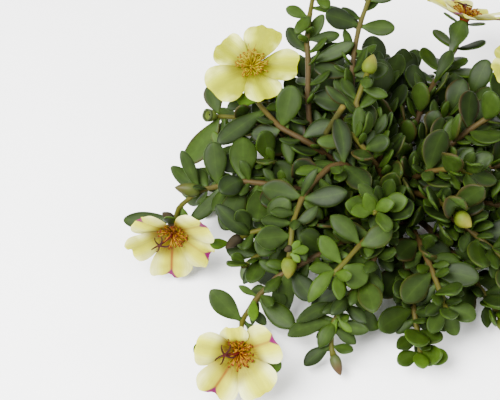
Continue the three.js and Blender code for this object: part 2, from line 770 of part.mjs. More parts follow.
// ---- Blooms ----
class Bloom {
  constructor(plan) {
    Object.assign(this, plan);
    this.centre = vector(plan.at);
    this.out = vector(plan.face).normalize();
    this.right = new THREE.Vector3().crossVectors(UP, this.out).normalize();
    this.up = new THREE.Vector3().crossVectors(this.out, this.right);
    this.petals = plan.petals.map(([degrees, size]) => ({ angle: THREE.MathUtils.degToRad(degrees), size }));
  }

  // A point at an angle round the face, so far out and so high above the hub's back.
  point(angle, far, high) {
    return this.centre.clone()
      .addScaledVector(this.right, Math.cos(angle) * far)
      .addScaledVector(this.up, Math.sin(angle) * far)
      .addScaledVector(this.out, high);
  }

  ring(count, far, high, start = 0, lean = [0, 0]) {
    return Array.from({ length: count }, (_, k) => {
      const point = this.point(start + (2 * Math.PI * k) / count, far, high);
      return point.addScaledVector(this.right, lean[0]).addScaledVector(this.up, lean[1]);
    });
  }

  // The hub's corners, each midway between two petals.
  hubAngles() {
    return this.petals.map(({ angle }, k) => {
      const before = this.petals[(k + this.petals.length - 1) % this.petals.length].angle;
      const step = THREE.MathUtils.euclideanModulo(angle - before, 2 * Math.PI);
      return angle - step / 2;
    });
  }

  // How high a petal stands: it rises as a cup and eases back toward its rim.
  rise(far, reach) {
    const part = far / reach;
    return BLOOM.hubHeight / 2 + reach * this.cup * (1.35 * part - 0.35 * part * part * part) * 0.9;
  }

  // A petal point: along its length, across it, and out of its face.
  petalPoint({ angle, size }, t, aside, lift) {
    const reach = this.reach * size;
    const far = THREE.MathUtils.lerp(BLOOM.hub * 0.9, reach, t);
    const twist = -PETAL_TWIST * aside;
    const wave = PETAL_WAVE * Math.abs(aside) * far;
    const base = this.point(angle, far, this.rise(far, reach) + twist + wave + lift);
    const across = this.point(angle + Math.PI / 2, 1, 0).sub(this.centre);
    return base.addScaledVector(across, aside);
  }

  petalHalf({ size }, part) {
    return this.reach * size * this.width * part;
  }
}

function growPetal(skin, root, bloom, petal) {
  const sections = PETAL_SECTIONS.map(({ at, wide }) => {
    const half = bloom.petalHalf(petal, wide);
    const deep = (BLOOM.thick / 2) * (1.15 - 0.4 * at);
    return [
      bloom.petalPoint(petal, at, -half, 0), bloom.petalPoint(petal, at, 0, -deep),
      bloom.petalPoint(petal, at, half, 0), bloom.petalPoint(petal, at, 0, deep),
    ];
  });
  const rootPoints = root.map((index) => skin.points[index]);
  const turn = bestTurn(rootPoints, sections[0]);
  const rings = sections.map((section) => skin.add(turned(section, turn)));
  skin.wrap(root, rings[0]);
  skin.crease(rings[0], rings[1], turn);
  skin.crease(rings[1], rings[2], turn);
  closeLobes(skin, rings[2], turn, bloom, petal);
}

// The rim: a lobe on each side of a shallow notch.
function closeLobes(skin, ring, turn, bloom, petal) {
  const named = (label) => ring[(label - turn + 4) % 4];
  const [left, low, right, high] = [0, 1, 2, 3].map(named);
  const half = bloom.petalHalf(petal, 0.52);
  const [lobeA, notch, lobeB] = skin.add([
    bloom.petalPoint(petal, 1.01, -half, 0),
    bloom.petalPoint(petal, 0.96, 0, 0),
    bloom.petalPoint(petal, 1.01, half, 0),
  ]);
  skin.faces.push([left, low, lobeA], [low, notch, lobeA], [low, right, lobeB], [low, lobeB, notch]);
  skin.faces.push([right, high, lobeB], [high, notch, lobeB], [high, left, lobeA], [high, lobeA, notch]);
}

function buildPetals(bloom) {
  const skin = new Skin();
  const corners = bloom.hubAngles();
  const [low, high] = [0, BLOOM.hubHeight].map((rise) => (
    skin.add(corners.map((angle) => bloom.point(angle, BLOOM.hub, rise)))
  ));
  skin.foot(low);
  skin.lid(high);
  bloom.petals.forEach((petal, k) => {
    const next = (k + 1) % corners.length;
    growPetal(skin, [low[k], low[next], high[next], high[k]], bloom, petal);
  });
  return skin.mesh(`${bloom.name}_petals`, COLOURS[bloom.colour], 0.55);
}

// A stalk grown from a root: one section near its end, then a point.
function growStalk(skin, root, stations, half, tip) {
  const corners = root.map((index) => skin.points[index]);
  const middle = corners.reduce((sum, p) => sum.add(p), new THREE.Vector3()).divideScalar(corners.length);
  const rings = stations.map((station) => skin.add(corners.map((corner) => (
    station.clone().add(corner.clone().sub(middle).setLength(half))
  ))));
  let ring = root;
  rings.forEach((next) => {
    skin.wrap(ring, next);
    ring = next;
  });
  skin.point(ring, skin.add([tip])[0]);
}

function leansAway(bloom, angle) {
  if (!bloom.lean) return true;
  const lean = Math.atan2(bloom.lean[1], bloom.lean[0]);
  return Math.cos(angle - lean) < 0.5;
}

function buildStamens(bloom, draw) {
  const skin = new Skin();
  const count = 8;
  const foot = BLOOM.hubHeight + GAP;
  const rings = [[1.5, foot], [1.8, foot + 0.7], [1.25, foot + 1.3]].map(([far, high]) => (
    skin.add(bloom.ring(count, far, high, 0.2))
  ));
  skin.foot(rings[0]);
  skin.lid(rings[2]);
  [{ splay: 0.72, length: 5.6 }, { splay: 0.27, length: 4.9 }].forEach(({ splay, length }, tier) => {
    const [low, high] = [rings[tier], rings[tier + 1]];
    const open = [];
    low.forEach((a, k) => {
      const b = (k + 1) % count;
      const angle = 0.2 + (2 * Math.PI * (k + 0.5)) / count;
      const reach = length * draw(0.88, 1.1);
      const lean = splay + draw(-0.09, 0.09);
      if (!leansAway(bloom, angle)) return;
      open.push(k);
      const [far, rise] = tier === 0 ? [1.7, foot + 0.5] : [1.3, foot + 1.1];
      const spot = (part) => (
        bloom.point(angle, far + Math.sin(lean) * reach * part, rise + Math.cos(lean) * reach * part)
      );
      growStalk(skin, [a, low[b], high[b], high[k]], [spot(0.82)], 0.48, spot(1));
    });
    skin.wrap(low, high, open);
  });
  return skin.mesh(`${bloom.name}_stamens`, COLOURS.gold, 0.6);
}

function buildStyle(bloom) {
  const skin = new Skin();
  const [leanX, leanY] = bloom.lean ?? [0.1, 0.05];
  const foot = BLOOM.hubHeight + 2 * GAP + 1.3;
  const height = bloom.lean ? 4.6 : 6.2;
  const slant = bloom.lean ? 4.2 : 1;
  const aside = (part) => [leanX * slant * part, leanY * slant * part];
  const spots = [[0.62, 0, 0], [0.5, 0.55, 0.5], [0.62, 0.86, 0.95], [0.5, 1, 1.08]];
  const rings = spots.map(([far, rise, lean]) => (
    skin.add(bloom.ring(5, far, foot + height * rise, STYLE_START, aside(lean)))
  ));
  skin.foot(rings[0]);
  skin.wrap(rings[0], rings[1]);
  skin.wrap(rings[1], rings[2]);
  skin.lid(rings[3]);
  rings[2].forEach((a, k) => {
    const b = (k + 1) % 5;
    const angle = STYLE_START + (2 * Math.PI * (k + 0.5)) / 5;
    const top = foot + height * 0.93;
    const spot = (far, high) => bloom.point(angle, far, high)
      .addScaledVector(bloom.right, leanX * slant).addScaledVector(bloom.up, leanY * slant);
    const root = [a, rings[2][b], rings[3][b], rings[3][k]];
    growStalk(skin, root, [spot(2, top + 0.7), spot(3.8, top + 0.9)], 0.36, spot(4.6, top + 0.5));
  });
  return skin.mesh(`${bloom.name}_style`, COLOURS.maroon, 0.55);
}

function bloomBalls(bloom) {
  const balls = [];
  bloom.petals.forEach((petal) => {
    for (let t = 0; t <= 1; t += 0.1) {
      const half = bloom.petalHalf(petal, t < 0.6 ? 0.3 + t : 1);
      const columns = Math.ceil(half / 0.9);
      for (let column = 0; column <= columns; column += 1) {
        const aside = (half - 0.3) * ((2 * column) / columns - 1);
        balls.push({ point: bloom.petalPoint(petal, t, aside, 0), radius: 1.1, owner: bloom.name });
      }
    }
  });
  for (let high = 2; high <= 8; high += 2) {
    bloom.ring(6, 3, high).forEach((point) => balls.push({ point, radius: 1.8, owner: bloom.name }));
  }
  return balls;
}

// ---- Crown ----
function buildCrown() {
  const { radius, middle, sides, tiers } = CROWN;
  const start = Math.asin(-middle / radius);
  const profile = [new THREE.Vector2(0, 0)];
  for (let k = 0; k <= tiers; k += 1) {
    const angle = THREE.MathUtils.lerp(start, Math.PI / 2, k / tiers);
    profile.push(new THREE.Vector2(Math.max(radius * Math.cos(angle), 0), middle + radius * Math.sin(angle)));
  }
  const skin = new Skin();
  const rings = profile.slice(1, -1).map(({ x, y }) => skin.add(Array.from({ length: sides }, (_, k) => {
    const angle = (2 * Math.PI * k) / sides;
    return new THREE.Vector3(x * Math.cos(angle), x * Math.sin(angle), y);
  })));
  skin.foot(rings[0]);
  rings.slice(1).forEach((ring, k) => skin.wrap(rings[k], ring));
  skin.point(rings[rings.length - 1], skin.add([new THREE.Vector3(0, 0, middle + radius)])[0]);
  return skin.mesh("crown", COLOURS.crown, 0.85);
}

// ---- Assembly ----
function laidStem(plan, foot, blooms) {
  const route = plan.route.map(vector);
  const bloom = blooms.find(({ name }) => name === plan.end);
  const behind = (distance) => bloom.centre.clone().addScaledVector(bloom.out, -distance);
  if (bloom) route.push(behind(5.5), behind(GAP));
  return new Stem(plan.name, [...leadIn(foot), ...route], plan.end);
}

// A stem made by rule, swung round its crown until it has room.
function clearStem(room, plan, foot, index) {
  const end = index % 5 === 2 ? "bud" : "tip";
  const name = `stem_${String(index + 1).padStart(2, "0")}`;
  for (const shift of [0, 0.12, -0.12, 0.24, -0.24, 0.4, -0.4]) {
    const stem = new Stem(name, [...leadIn(foot), ...ruleRoute(plan, shift)], end);
    const outer = stem.balls(name).filter(({ along }) => along > 4 && along < stem.line.length - 3);
    if (room.clear(outer)) return stem;
  }
  return null;
}

function placeStems(room, blooms) {
  const tips = ruleTips();
  const laidStarts = LAID_STEMS.map(({ route }) => vector(route[0]));
  const feet = [...laidStarts, ...tips.map((plan) => ruleRoute(plan, 0)[0])].map(crownStart);
  spreadFeet(feet);
  const laid = LAID_STEMS.map((plan, k) => laidStem(plan, feet[k], blooms));
  laid.forEach((stem) => room.take(stem.balls(stem.name)));
  const ruled = [];
  tips.forEach((plan, index) => {
    const stem = clearStem(room, plan, feet[LAID_STEMS.length + index], index);
    if (!stem) return;
    room.take(stem.balls(stem.name));
    ruled.push(stem);
  });
  return { laid, ruled };
}

// Every joint that gets its leaves by rule, with the sides that they leave from.
function openJoints(laid, ruled, draw) {
  const joints = ruled.flatMap((stem) => (
    ruleJoints(stem, stem.line.length * 0.36, stem.reach - 2, draw).map((entry) => ({ stem, ...entry }))
  ));
  laid.forEach((stem, k) => {
    const [from, to] = LAID_STEMS[k].fill.map((index) => stem.line.distanceOf(index + LEAD_POINTS));
    joints.push(...ruleJoints(stem, from, to, draw).map((entry) => ({ stem, ...entry })));
  });
  return joints;
}

function plant() {
  const room = new Room();
  const draw = drawer(20417);
  const blooms = BLOOMS.map((plan) => new Bloom(plan));
  blooms.forEach((bloom) => room.take(bloomBalls(bloom)));
  const { laid, ruled } = placeStems(room, blooms);
  laid.forEach((stem, k) => laidLeaves(room, stem, LAID_STEMS[k]));
  openJoints(laid, ruled, draw).forEach(({ stem, joint, sides }) => {
    const last = stem.reach - joint.along < 5 && !stem.end.startsWith("bloom");
    const size = leafSize(stem, joint.along);
    (last ? [0, 1, 2, 3] : sides).forEach((side) => ruleLeaf(room, stem, joint, side, draw, size));
  });
  return { stems: [...laid, ...ruled], blooms, draw };
}

function portulaca() {
  const group = new THREE.Group();
  group.name = "portulaca";
  const { stems, blooms, draw } = plant();
  group.add(buildCrown());
  stems.forEach((stem) => group.add(buildStem(stem)));
  blooms.forEach((bloom) => group.add(buildPetals(bloom), buildStamens(bloom, draw), buildStyle(bloom)));
  return group;
}

export default portulaca();
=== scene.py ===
"""Portulaca, dressed: fleshy leaves, round stems, veined petals, stamens, buds and a seed capsule.

Sizes in this file are in millimetres until a Skin writes its mesh in metres. Each leafy stem is
read from its own node of the frame, so the fine leaves stand where the solid ones do.
"""

import logging
import math
from dataclasses import dataclass, field
from enum import Enum

import bpy
import numpy as np
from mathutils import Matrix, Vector


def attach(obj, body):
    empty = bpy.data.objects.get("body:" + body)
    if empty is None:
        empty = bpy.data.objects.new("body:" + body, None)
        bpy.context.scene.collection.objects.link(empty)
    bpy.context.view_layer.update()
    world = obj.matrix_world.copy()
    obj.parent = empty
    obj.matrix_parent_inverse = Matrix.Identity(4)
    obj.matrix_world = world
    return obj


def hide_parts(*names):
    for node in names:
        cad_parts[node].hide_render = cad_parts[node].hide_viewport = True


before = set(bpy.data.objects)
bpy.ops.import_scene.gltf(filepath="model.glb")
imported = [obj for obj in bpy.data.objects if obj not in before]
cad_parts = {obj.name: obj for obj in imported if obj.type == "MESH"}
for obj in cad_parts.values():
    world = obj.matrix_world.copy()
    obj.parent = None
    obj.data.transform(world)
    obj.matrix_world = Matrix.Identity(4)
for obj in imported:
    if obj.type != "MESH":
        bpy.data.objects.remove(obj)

LOG = logging.getLogger("portulaca")
MM = 0.001
UP = np.array([0.0, 0.0, 1.0])
ASIDE = np.array([1.0, 0.0, 0.0])
CROWN_MIDDLE = np.array([0.0, 0.0, 2.0])

# Where a solid leaf's two sections are along it, and how wide each is as a share of its widest.
BLADE_MARKS = (0.42, 0.8)
BLADE_WIDTHS = (0.84, 0.94)

# A solid leaf thicker than this, as a share of its width, is a closed bud.
BUD_THICKNESS = 0.6

# A solid stem's corners stand this much farther out than its radius.
RING_OVERSIZE = 1.12

# Steps a millimetre that a node's points are rounded to before they are welded.
WELD_STEPS = 1000

# Turns from one to the next, in radians, that spread stamens, and seeds and small leaves.
GOLDEN_TURN = 2.39996
SCATTER_TURN = 2.4


class Slot(Enum):
    """The record's material slots."""

    OLD_WOOD = "old_wood"
    FOLIAGE = "foliage"
    LEMON = "petal_lemon"
    CREAM = "petal_cream"
    STAMEN = "stamen_gold"
    STYLE = "style_maroon"


class StemEnd(Enum):
    """What a stem ends in."""

    TIP = "tip"
    BUD = "bud"
    CAPSULE = "capsule"
    BLOOM = "bloom"


class BudKind(Enum):
    """How a closed bud is coloured."""

    GREEN = "green"
    BROWN = "brown"
    OLIVE = "olive"
    RED = "red"


# ---- Small geometry helpers ----


def unit(vector: np.ndarray) -> np.ndarray:
    """Returns the vector at length one."""
    return vector / max(float(np.linalg.norm(vector)), 1e-9)


def square_to(vector: np.ndarray, axis: np.ndarray) -> np.ndarray:
    """Returns the unit part of a vector that is square to a unit axis."""
    return unit(vector - axis * float(vector @ axis))


def turn_about(vector: np.ndarray, axis: np.ndarray, angle: float) -> np.ndarray:
    """Turns a vector about an axis.

    Args:
        vector: what is turned.
        axis: a unit vector.
        angle: how far, in radians.

    Returns:
        The turned vector.
    """
    return (
        vector * math.cos(angle)
        + np.cross(axis, vector) * math.sin(angle)
        + axis * float(axis @ vector) * (1 - math.cos(angle))
    )


def any_side(axis: np.ndarray) -> np.ndarray:
    """Returns a unit direction square to a unit axis, upright where the axis isn't steep."""
    return square_to(UP if abs(axis[2]) < 0.9 else ASIDE, axis)


def bent_line(root: np.ndarray, bend: np.ndarray, tip: np.ndarray, t: float) -> np.ndarray:
    """Returns the point at a share along the curve from root to tip that a bend pulls aside."""
    return (1 - t) ** 2 * root + 2 * t * (1 - t) * bend + t * t * tip


def ease(low: float, high: float, value: float) -> float:
    """Returns a smooth step from 0 at low to 1 at high."""
    part = min(max((value - low) / (high - low), 0.0), 1.0)
    return part * part * (3 - 2 * part)


# ---- Mesh under construction ----


class Skin:
    """Points, faces and per-point values of one piece."""

    def __init__(self) -> None:
        """Starts with nothing in it."""
        self.points: list[np.ndarray] = []
        self.faces: list[tuple[int, ...]] = []
        self.values: dict[str, list[float]] = {}

    def add(self, points: list[np.ndarray], **values: float | list[float]) -> list[int]:
        """Adds points with their values.

        Args:
            points: the points, in millimetres.
            **values: a number for all of them, or a list with one for each.

        Returns:
            The points' places in the skin.
        """
        start = len(self.points)
        self.points.extend(points)
        for name, value in values.items():
            column = self.values.setdefault(name, [0.0] * start)
            column.extend([0.0] * (start - len(column)))
            column.extend(value if isinstance(value, list) else [value] * len(points))
        return list(range(start, len(self.points)))

    def wrap(self, low: list[int], high: list[int]) -> None:
        """Joins two closed rings of the same count with quads.

        Args:
            low: the points of one ring.
            high: the points of the next one.
        """
        count = len(low)
        for k in range(count):
            after = (k + 1) % count
            self.faces.append((low[k], low[after], high[after], high[k]))

    def close(self, ring: list[int], point: int, inward: bool = False) -> None:
        """Closes a ring to a point, or to a foot that faces back when inward.

        Args:
            ring: the points of the ring.
            point: the point that it closes to.
            inward: whether the ring is a foot.
        """
        count = len(ring)
        for k in range(count):
            pair = (ring[k], ring[(k + 1) % count])
            self.faces.append((pair[1], pair[0], point) if inward else (*pair, point))

    def loft(self, rings: list[list[int]], foot: int, tip: int) -> None:
        """Skins a row of rings from a foot point to a tip point.

        Args:
            rings: the points of each ring, from the foot on.
            foot: the foot point.
            tip: the tip point.
        """
        self.close(rings[0], foot, inward=True)
        for low, high in zip(rings, rings[1:]):
            self.wrap(low, high)
        self.close(rings[-1], tip)

    def piece(self, name: str, finish: bpy.types.Material) -> bpy.types.Object:
        """Writes the mesh in metres as an object.

        Args:
            name: the piece's name.
            finish: its material.

        Returns:
            The new object, linked to the scene.
        """
        mesh = bpy.data.meshes.new(name)
        mesh.from_pydata([tuple(point * MM) for point in self.points], [], self.faces)
        for label, column in self.values.items():
            column.extend([0.0] * (len(self.points) - len(column)))
            attribute = mesh.attributes.new(label, "FLOAT", "POINT")
            attribute.data.foreach_set("value", np.array(column, np.float32))
        mesh.polygons.foreach_set("use_smooth", [True] * len(mesh.polygons))
        mesh.materials.append(finish)
        mesh.update()
        made = bpy.data.objects.new(name, mesh)
        bpy.context.scene.collection.objects.link(made)
        return made


def settle(piece: bpy.types.Object, slot: Slot, *nodes: str) -> bpy.types.Object:
    """Rides a piece on the root and hides the nodes that it stands for.

    Args:
        piece: the piece.
        slot: its slot; not used.
        *nodes: the nodes that it stands for, if any.

    Returns:
        The piece.
    """
    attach(piece, "root")
    if nodes:
        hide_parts(*nodes)
    LOG.info("%s: %d faces", piece.name, len(piece.data.polygons))
    return piece


# ---- Shader graph helper and shared groups ----


def tone(code: str) -> tuple[float, float, float, float]:
    """Turns a screen colour into a linear one.

    Args:
        code: the colour as six hex digits, such as "48632e".

    Returns:
        Its red, green, blue and alpha.
    """
    parts = [int(code[k : k + 2], 16) / 255 for k in (0, 2, 4)]
    linear = [p / 12.92 if p <= 0.04045 else ((p + 0.055) / 1.055) ** 2.4 for p in parts]
    return (*linear, 1.0)


Socket = bpy.types.NodeSocket
FLOAT, COLOUR = "NodeSocketFloat", "NodeSocketColor"


class Graph:
    """A node tree with short calls for the nodes that the finishes use."""

    def __init__(self, tree: bpy.types.NodeTree) -> None:
        """Takes the tree that the nodes go into."""
        self.tree = tree

    def node(self, kind: str, **settings: object) -> bpy.types.Node:
        """Adds a node.

        Args:
            kind: the node's type.
            **settings: values for its own properties.

        Returns:
            The new node.
        """
        made = self.tree.nodes.new(kind)
        for name, value in settings.items():
            setattr(made, name, value)
        return made

    def feed(self, socket: Socket, value: object) -> None:
        """Links an input to another socket, or sets its plain value.

        Args:
            socket: the input.
            value: a socket, or a number, vector or colour.
        """
        if isinstance(value, bpy.types.NodeSocket):
            self.tree.links.new(value, socket)
        else:
            socket.default_value = value

    def value(self, name: str) -> Socket:
        """Returns the per-point value with that name."""
        return self.node("ShaderNodeAttribute", attribute_name=name).outputs["Fac"]

    def place(self) -> Socket:
        """Returns the place on the object itself."""
        return self.node("ShaderNodeTexCoord").outputs["Object"]

    def calc(self, operation: str, *inputs: object) -> Socket:
        """Adds a math node.

        Args:
            operation: what it does, such as "MULTIPLY".
            *inputs: sockets or numbers, in order.

        Returns:
            Its result.
        """
        made = self.node("ShaderNodeMath", operation=operation)
        for socket, given in zip(made.inputs, inputs):
            self.feed(socket, given)
        return made.outputs[0]

    def times(self, first: object, second: object) -> Socket:
        """Returns the product of two values."""
        return self.calc("MULTIPLY", first, second)

    def mix(self, factor: object, first: object, second: object) -> Socket:
        """Mixes two colours.

        Args:
            factor: 0 for the first colour, 1 for the second.
            first: the first colour.
            second: the second colour.

        Returns:
            The mixed colour.
        """
        made = self.node("ShaderNodeMix", data_type="RGBA")
        for place, given in ((0, factor), (6, first), (7, second)):
            self.feed(made.inputs[place], given)
        return made.outputs[2]

    def wash(self, colour: object, code: str, mask: Socket, share: float = 1.0) -> Socket:
        """Lays a second colour over a first.

        Args:
            colour: the first colour.
            code: the second, as six hex digits.
            mask: where the second goes, from 0 to 1.
            share: how strong it is where the mask is 1.

        Returns:
            The mixed colour.
        """
        factor = mask if share == 1.0 else self.times(mask, share)
        return self.mix(factor, colour, tone(code))

    def step(self, value: object, low: float, high: float, top: float = 1.0) -> Socket:
        """Adds a smooth rise.

        Args:
            value: what it follows.
            low: where it starts to rise from 0.
            high: where it ends.
            top: what it ends at.

        Returns:
            The risen value.
        """
        made = self.node("ShaderNodeMapRange", interpolation_type="SMOOTHSTEP")
        for place, given in enumerate((value, low, high, 0.0, top)):
            self.feed(made.inputs[place], given)
        return made.outputs[0]

    def fall(self, value: object, low: float, high: float) -> Socket:
        """Returns a smooth fall from 1 at low to 0 at high."""
        return self.calc("SUBTRACT", 1.0, self.step(value, low, high))

    def noise(self, where: Socket, scale: object, detail: float = 2.0) -> Socket:
        """Adds a cloudy noise.

        Args:
            where: the place that it is read at.
            scale: how fine it is.
            detail: how many finer layers it has.

        Returns:
            Its value, from 0 to 1.
        """
        made = self.node("ShaderNodeTexNoise")
        for name, given in (("Vector", where), ("Scale", scale), ("Detail", detail)):
            self.feed(made.inputs[name], given)
        return made.outputs[0]

    def group(self, tree: bpy.types.NodeTree, **inputs: object) -> bpy.types.Node:
        """Places a group.

        Args:
            tree: the group.
            **inputs: a value for each of its inputs, by name.

        Returns:
            The group's node.
        """
        made = self.node("ShaderNodeGroup", node_tree=tree)
        for name, given in inputs.items():
            self.feed(made.inputs[name], given)
        return made


def new_group(name: str, inputs: dict[str, str], outputs: dict[str, str]) -> tuple[Graph, Socket, Socket]:
    """Starts a shader group.

    Args:
        name: the group's name.
        inputs: socket type by input name.
        outputs: socket type by output name.

    Returns:
        The group's graph, its inputs' sockets and its outputs' sockets.
    """
    tree = bpy.data.node_groups.new(name, "ShaderNodeTree")
    for label, kind in inputs.items():
        tree.interface.new_socket(label, in_out="INPUT", socket_type=kind)
    for label, kind in outputs.items():
        tree.interface.new_socket(label, in_out="OUTPUT", socket_type=kind)
    graph = Graph(tree)
    return graph, graph.node("NodeGroupInput").outputs, graph.node("NodeGroupOutput").inputs


class Effects:
    """The shader groups that the finishes share, each built once."""

    FINE_GRAIN = 9.0
    STREAK_STRETCH = 1.6
    STREAK_SHIFT = 7.0
    STREAK_BAND = (0.38, 0.66)
    CLOUD_BAND = (0.42, 0.62)
    EULER = 2.718

    def __init__(self) -> None:
        """Builds each group."""
        self.mottle = self.build_mottle()
        self.streaks = self.build_streaks()
        self.midline = self.build_midline()
        self.cloud = self.build_cloud()

    def build_mottle(self) -> bpy.types.NodeTree:
        """Makes cloudy patches of light and shade over a colour, with a fine height.

        Returns:
            The group.
        """
        graph, given, out = new_group(
            "Mottle", {"Colour": COLOUR, "Scale": FLOAT, "Amount": FLOAT}, {"Colour": COLOUR, "Height": FLOAT}
        )
        where = graph.place()
        cloud = graph.noise(where, given["Scale"], 3.0)
        fine = graph.noise(where, graph.times(given["Scale"], self.FINE_GRAIN))
        spread = graph.times(graph.calc("SUBTRACT", cloud, 0.5), given["Amount"])
        shaded = graph.node("ShaderNodeVectorMath", operation="SCALE")
        graph.feed(shaded.inputs[0], given["Colour"])
        graph.feed(shaded.inputs["Scale"], graph.calc("ADD", spread, 1.0))
        graph.feed(out["Colour"], shaded.outputs[0])
        graph.feed(out["Height"], fine)
        return graph.tree

    def build_streaks(self) -> bpy.types.NodeTree:
        """Makes long fine streaks that run along a piece, from its own along and across values.

        Returns:
            The group.
        """
        graph, given, out = new_group(
            "Streaks", {"Along": FLOAT, "Across": FLOAT, "Count": FLOAT, "Shift": FLOAT}, {"Mask": FLOAT}
        )
        spot = graph.node("ShaderNodeCombineXYZ")
        graph.feed(spot.inputs[0], graph.times(given["Across"], given["Count"]))
        graph.feed(spot.inputs[1], graph.times(given["Along"], self.STREAK_STRETCH))
        graph.feed(spot.inputs[2], graph.times(given["Shift"], self.STREAK_SHIFT))
        graph.feed(out["Mask"], graph.step(graph.noise(spot.outputs[0], 1.0), *self.STREAK_BAND))
        return graph.tree

    def build_cloud(self) -> bpy.types.NodeTree:
        """Makes soft patches that drift over a surface.

        Returns:
            The group.
        """
        graph, given, out = new_group("Cloud", {"Scale": FLOAT}, {"Mask": FLOAT})
        graph.feed(out["Mask"], graph.step(graph.noise(graph.place(), given["Scale"]), *self.CLOUD_BAND))
        return graph.tree

    def build_midline(self) -> bpy.types.NodeTree:
        """Makes a soft line along the middle of a blade, as wide as asked.

        Returns:
            The group.
        """
        graph, given, out = new_group("Midline", {"Across": FLOAT, "Width": FLOAT}, {"Mask": FLOAT})
        away = graph.calc("DIVIDE", graph.calc("ABSOLUTE", given["Across"]), given["Width"])
        fade = graph.times(graph.times(away, away), -1.0)
        graph.feed(out["Mask"], graph.calc("POWER", self.EULER, fade))
        return graph.tree

    def mottle_on(self, graph: Graph, colour: Socket, scale: float, amount: float) -> tuple[Socket, Socket]:
        """Places the mottle in a finish.

        Args:
            graph: the finish's graph.
            colour: the colour that is mottled.
            scale: how fine the patches are.
            amount: how strong they are.

        Returns:
            The mottled colour and the fine height.
        """
        placed = graph.group(self.mottle, Colour=colour, Scale=scale, Amount=amount)
        return placed.outputs["Colour"], placed.outputs["Height"]

    def streaks_on(self, graph: Graph, count: float) -> Socket:
        """Places the streaks in a finish.

        Args:
            graph: the finish's graph.
            count: how many there are across the piece, roughly.

        Returns:
            Their mask.
        """
        along, across, shift = graph.value("along"), graph.value("across"), graph.value("tint")
        return graph.group(self.streaks, Along=along, Across=across, Count=count, Shift=shift).outputs[0]

    def midline_on(self, graph: Graph, width: float) -> Socket:
        """Places the midline in a finish and returns its mask."""
        return graph.group(self.midline, Across=graph.value("across"), Width=width).outputs[0]

    def cloud_on(self, graph: Graph, scale: float) -> Socket:
        """Places the cloud in a finish and returns its mask."""
        return graph.group(self.cloud, Scale=scale).outputs[0]


def new_material(name: str) -> tuple[bpy.types.Material, Graph, bpy.types.Node]:
    """Starts a material.

    Args:
        name: the material's name.

    Returns:
        The material, its graph and its Principled shader.
    """
    material = bpy.data.materials.new(name)
    material.use_nodes = True
    material.node_tree.nodes.clear()
    graph = Graph(material.node_tree)
    shader = graph.node("ShaderNodeBsdfPrincipled")
    graph.feed(graph.node("ShaderNodeOutputMaterial").inputs["Surface"], shader.outputs[0])
    return material, graph, shader


def fix(shader: bpy.types.Node, values: dict[str, object]) -> None:
    """Sets what is the same all over a surface on the shader's own sockets."""
    for name, value in values.items():
        shader.inputs[name].default_value = value


def add_relief(graph: Graph, shader: bpy.types.Node, height: Socket, strength: float, depth: float) -> None:
    """Feeds a height to the shader's normal through a bump.

    Args:
        graph: the finish's graph.
        shader: its shader.
        height: the height, from 0 to 1.
        strength: how strong the bump is.
        depth: how deep it is, in metres.
    """
    bump = graph.node("ShaderNodeBump")
    fix(bump, {"Strength": strength, "Distance": depth})
    graph.feed(bump.inputs["Height"], height)
    graph.feed(shader.inputs["Normal"], bump.outputs[0])


# ---- Finishes ----


@dataclass(frozen=True)
class LeafFinish:
    """Fleshy leaf: deep green, young leaves bright, paler below and at the root, worn rims reddish."""

    dark: str = "0e1607"
    mid: str = "202f07"
    young: str = "3e590c"
    pale: str = "334716"
    rim: str = "2e190e"
    under_share: float = 0.4
    middle_share: float = 0.2
    vein_share: float = 0.16
    root_share: float = 0.4
    edge_share: float = 0.32
    worn_share: float = 0.7
    middle_width: float = 0.55
    vein_width: float = 0.06
    root_reach: float = 0.3
    edge_band: tuple[float, float] = (0.9, 1.0)
    worn_band: tuple[float, float] = (0.66, 1.0)
    worn_ages: tuple[float, float] = (0.45, 1.0)
    mottle: tuple[float, float] = (320.0, 0.9)
    rough: tuple[float, float] = (0.38, 0.58)
    relief: tuple[float, float] = (0.25, 0.00012)

    def body(self, graph: Graph, effects: Effects) -> Socket:
        """Colours the blade without its rim.

        Args:
            graph: the finish's graph.
            effects: the shared groups.

        Returns:
            The blade's colour.
        """
        # Dark to mid green by tint; the low tints of leaves near the crown and of the small inner leaves are
        # painted shade.
        colour = graph.mix(graph.value("tint"), tone(self.dark), tone(self.mid))
        colour = graph.wash(colour, self.young, graph.value("young"))
        colour = graph.wash(colour, self.pale, graph.value("under"), self.under_share)
        middle = effects.midline_on(graph, self.middle_width)
        colour = graph.wash(colour, self.pale, middle, self.middle_share)
        colour = graph.wash(colour, self.pale, effects.midline_on(graph, self.vein_width), self.vein_share)
        root = graph.fall(graph.value("along"), 0.0, self.root_reach)
        return graph.wash(colour, self.pale, root, self.root_share)

    def material(self, effects: Effects) -> bpy.types.Material:
        """Makes the leaf material.

        Args:
            effects: the shared groups.

        Returns:
            The material.
        """
        material, graph, shader = new_material("fleshy_leaf")
        aside = graph.calc("ABSOLUTE", graph.value("across"))
        edge, band = graph.step(aside, *self.edge_band), graph.step(aside, *self.worn_band)
        worn = graph.times(band, graph.step(graph.value("age"), *self.worn_ages, self.worn_share))
        colour = graph.wash(self.body(graph, effects), self.young, edge, self.edge_share)
        colour = graph.wash(colour, self.rim, worn)
        mottled, height = effects.mottle_on(graph, colour, *self.mottle)
        graph.feed(shader.inputs["Base Color"], mottled)
        low, high = self.rough
        graph.feed(shader.inputs["Roughness"], graph.calc("MULTIPLY_ADD", height, high - low, low))
        fix(shader, {"Specular IOR Level": 0.08, "Subsurface Weight": 0.1})
        fix(shader, {"Subsurface Radius": (0.35, 1.0, 0.15), "Subsurface Scale": 0.001})
        add_relief(graph, shader, height, *self.relief)
        return material


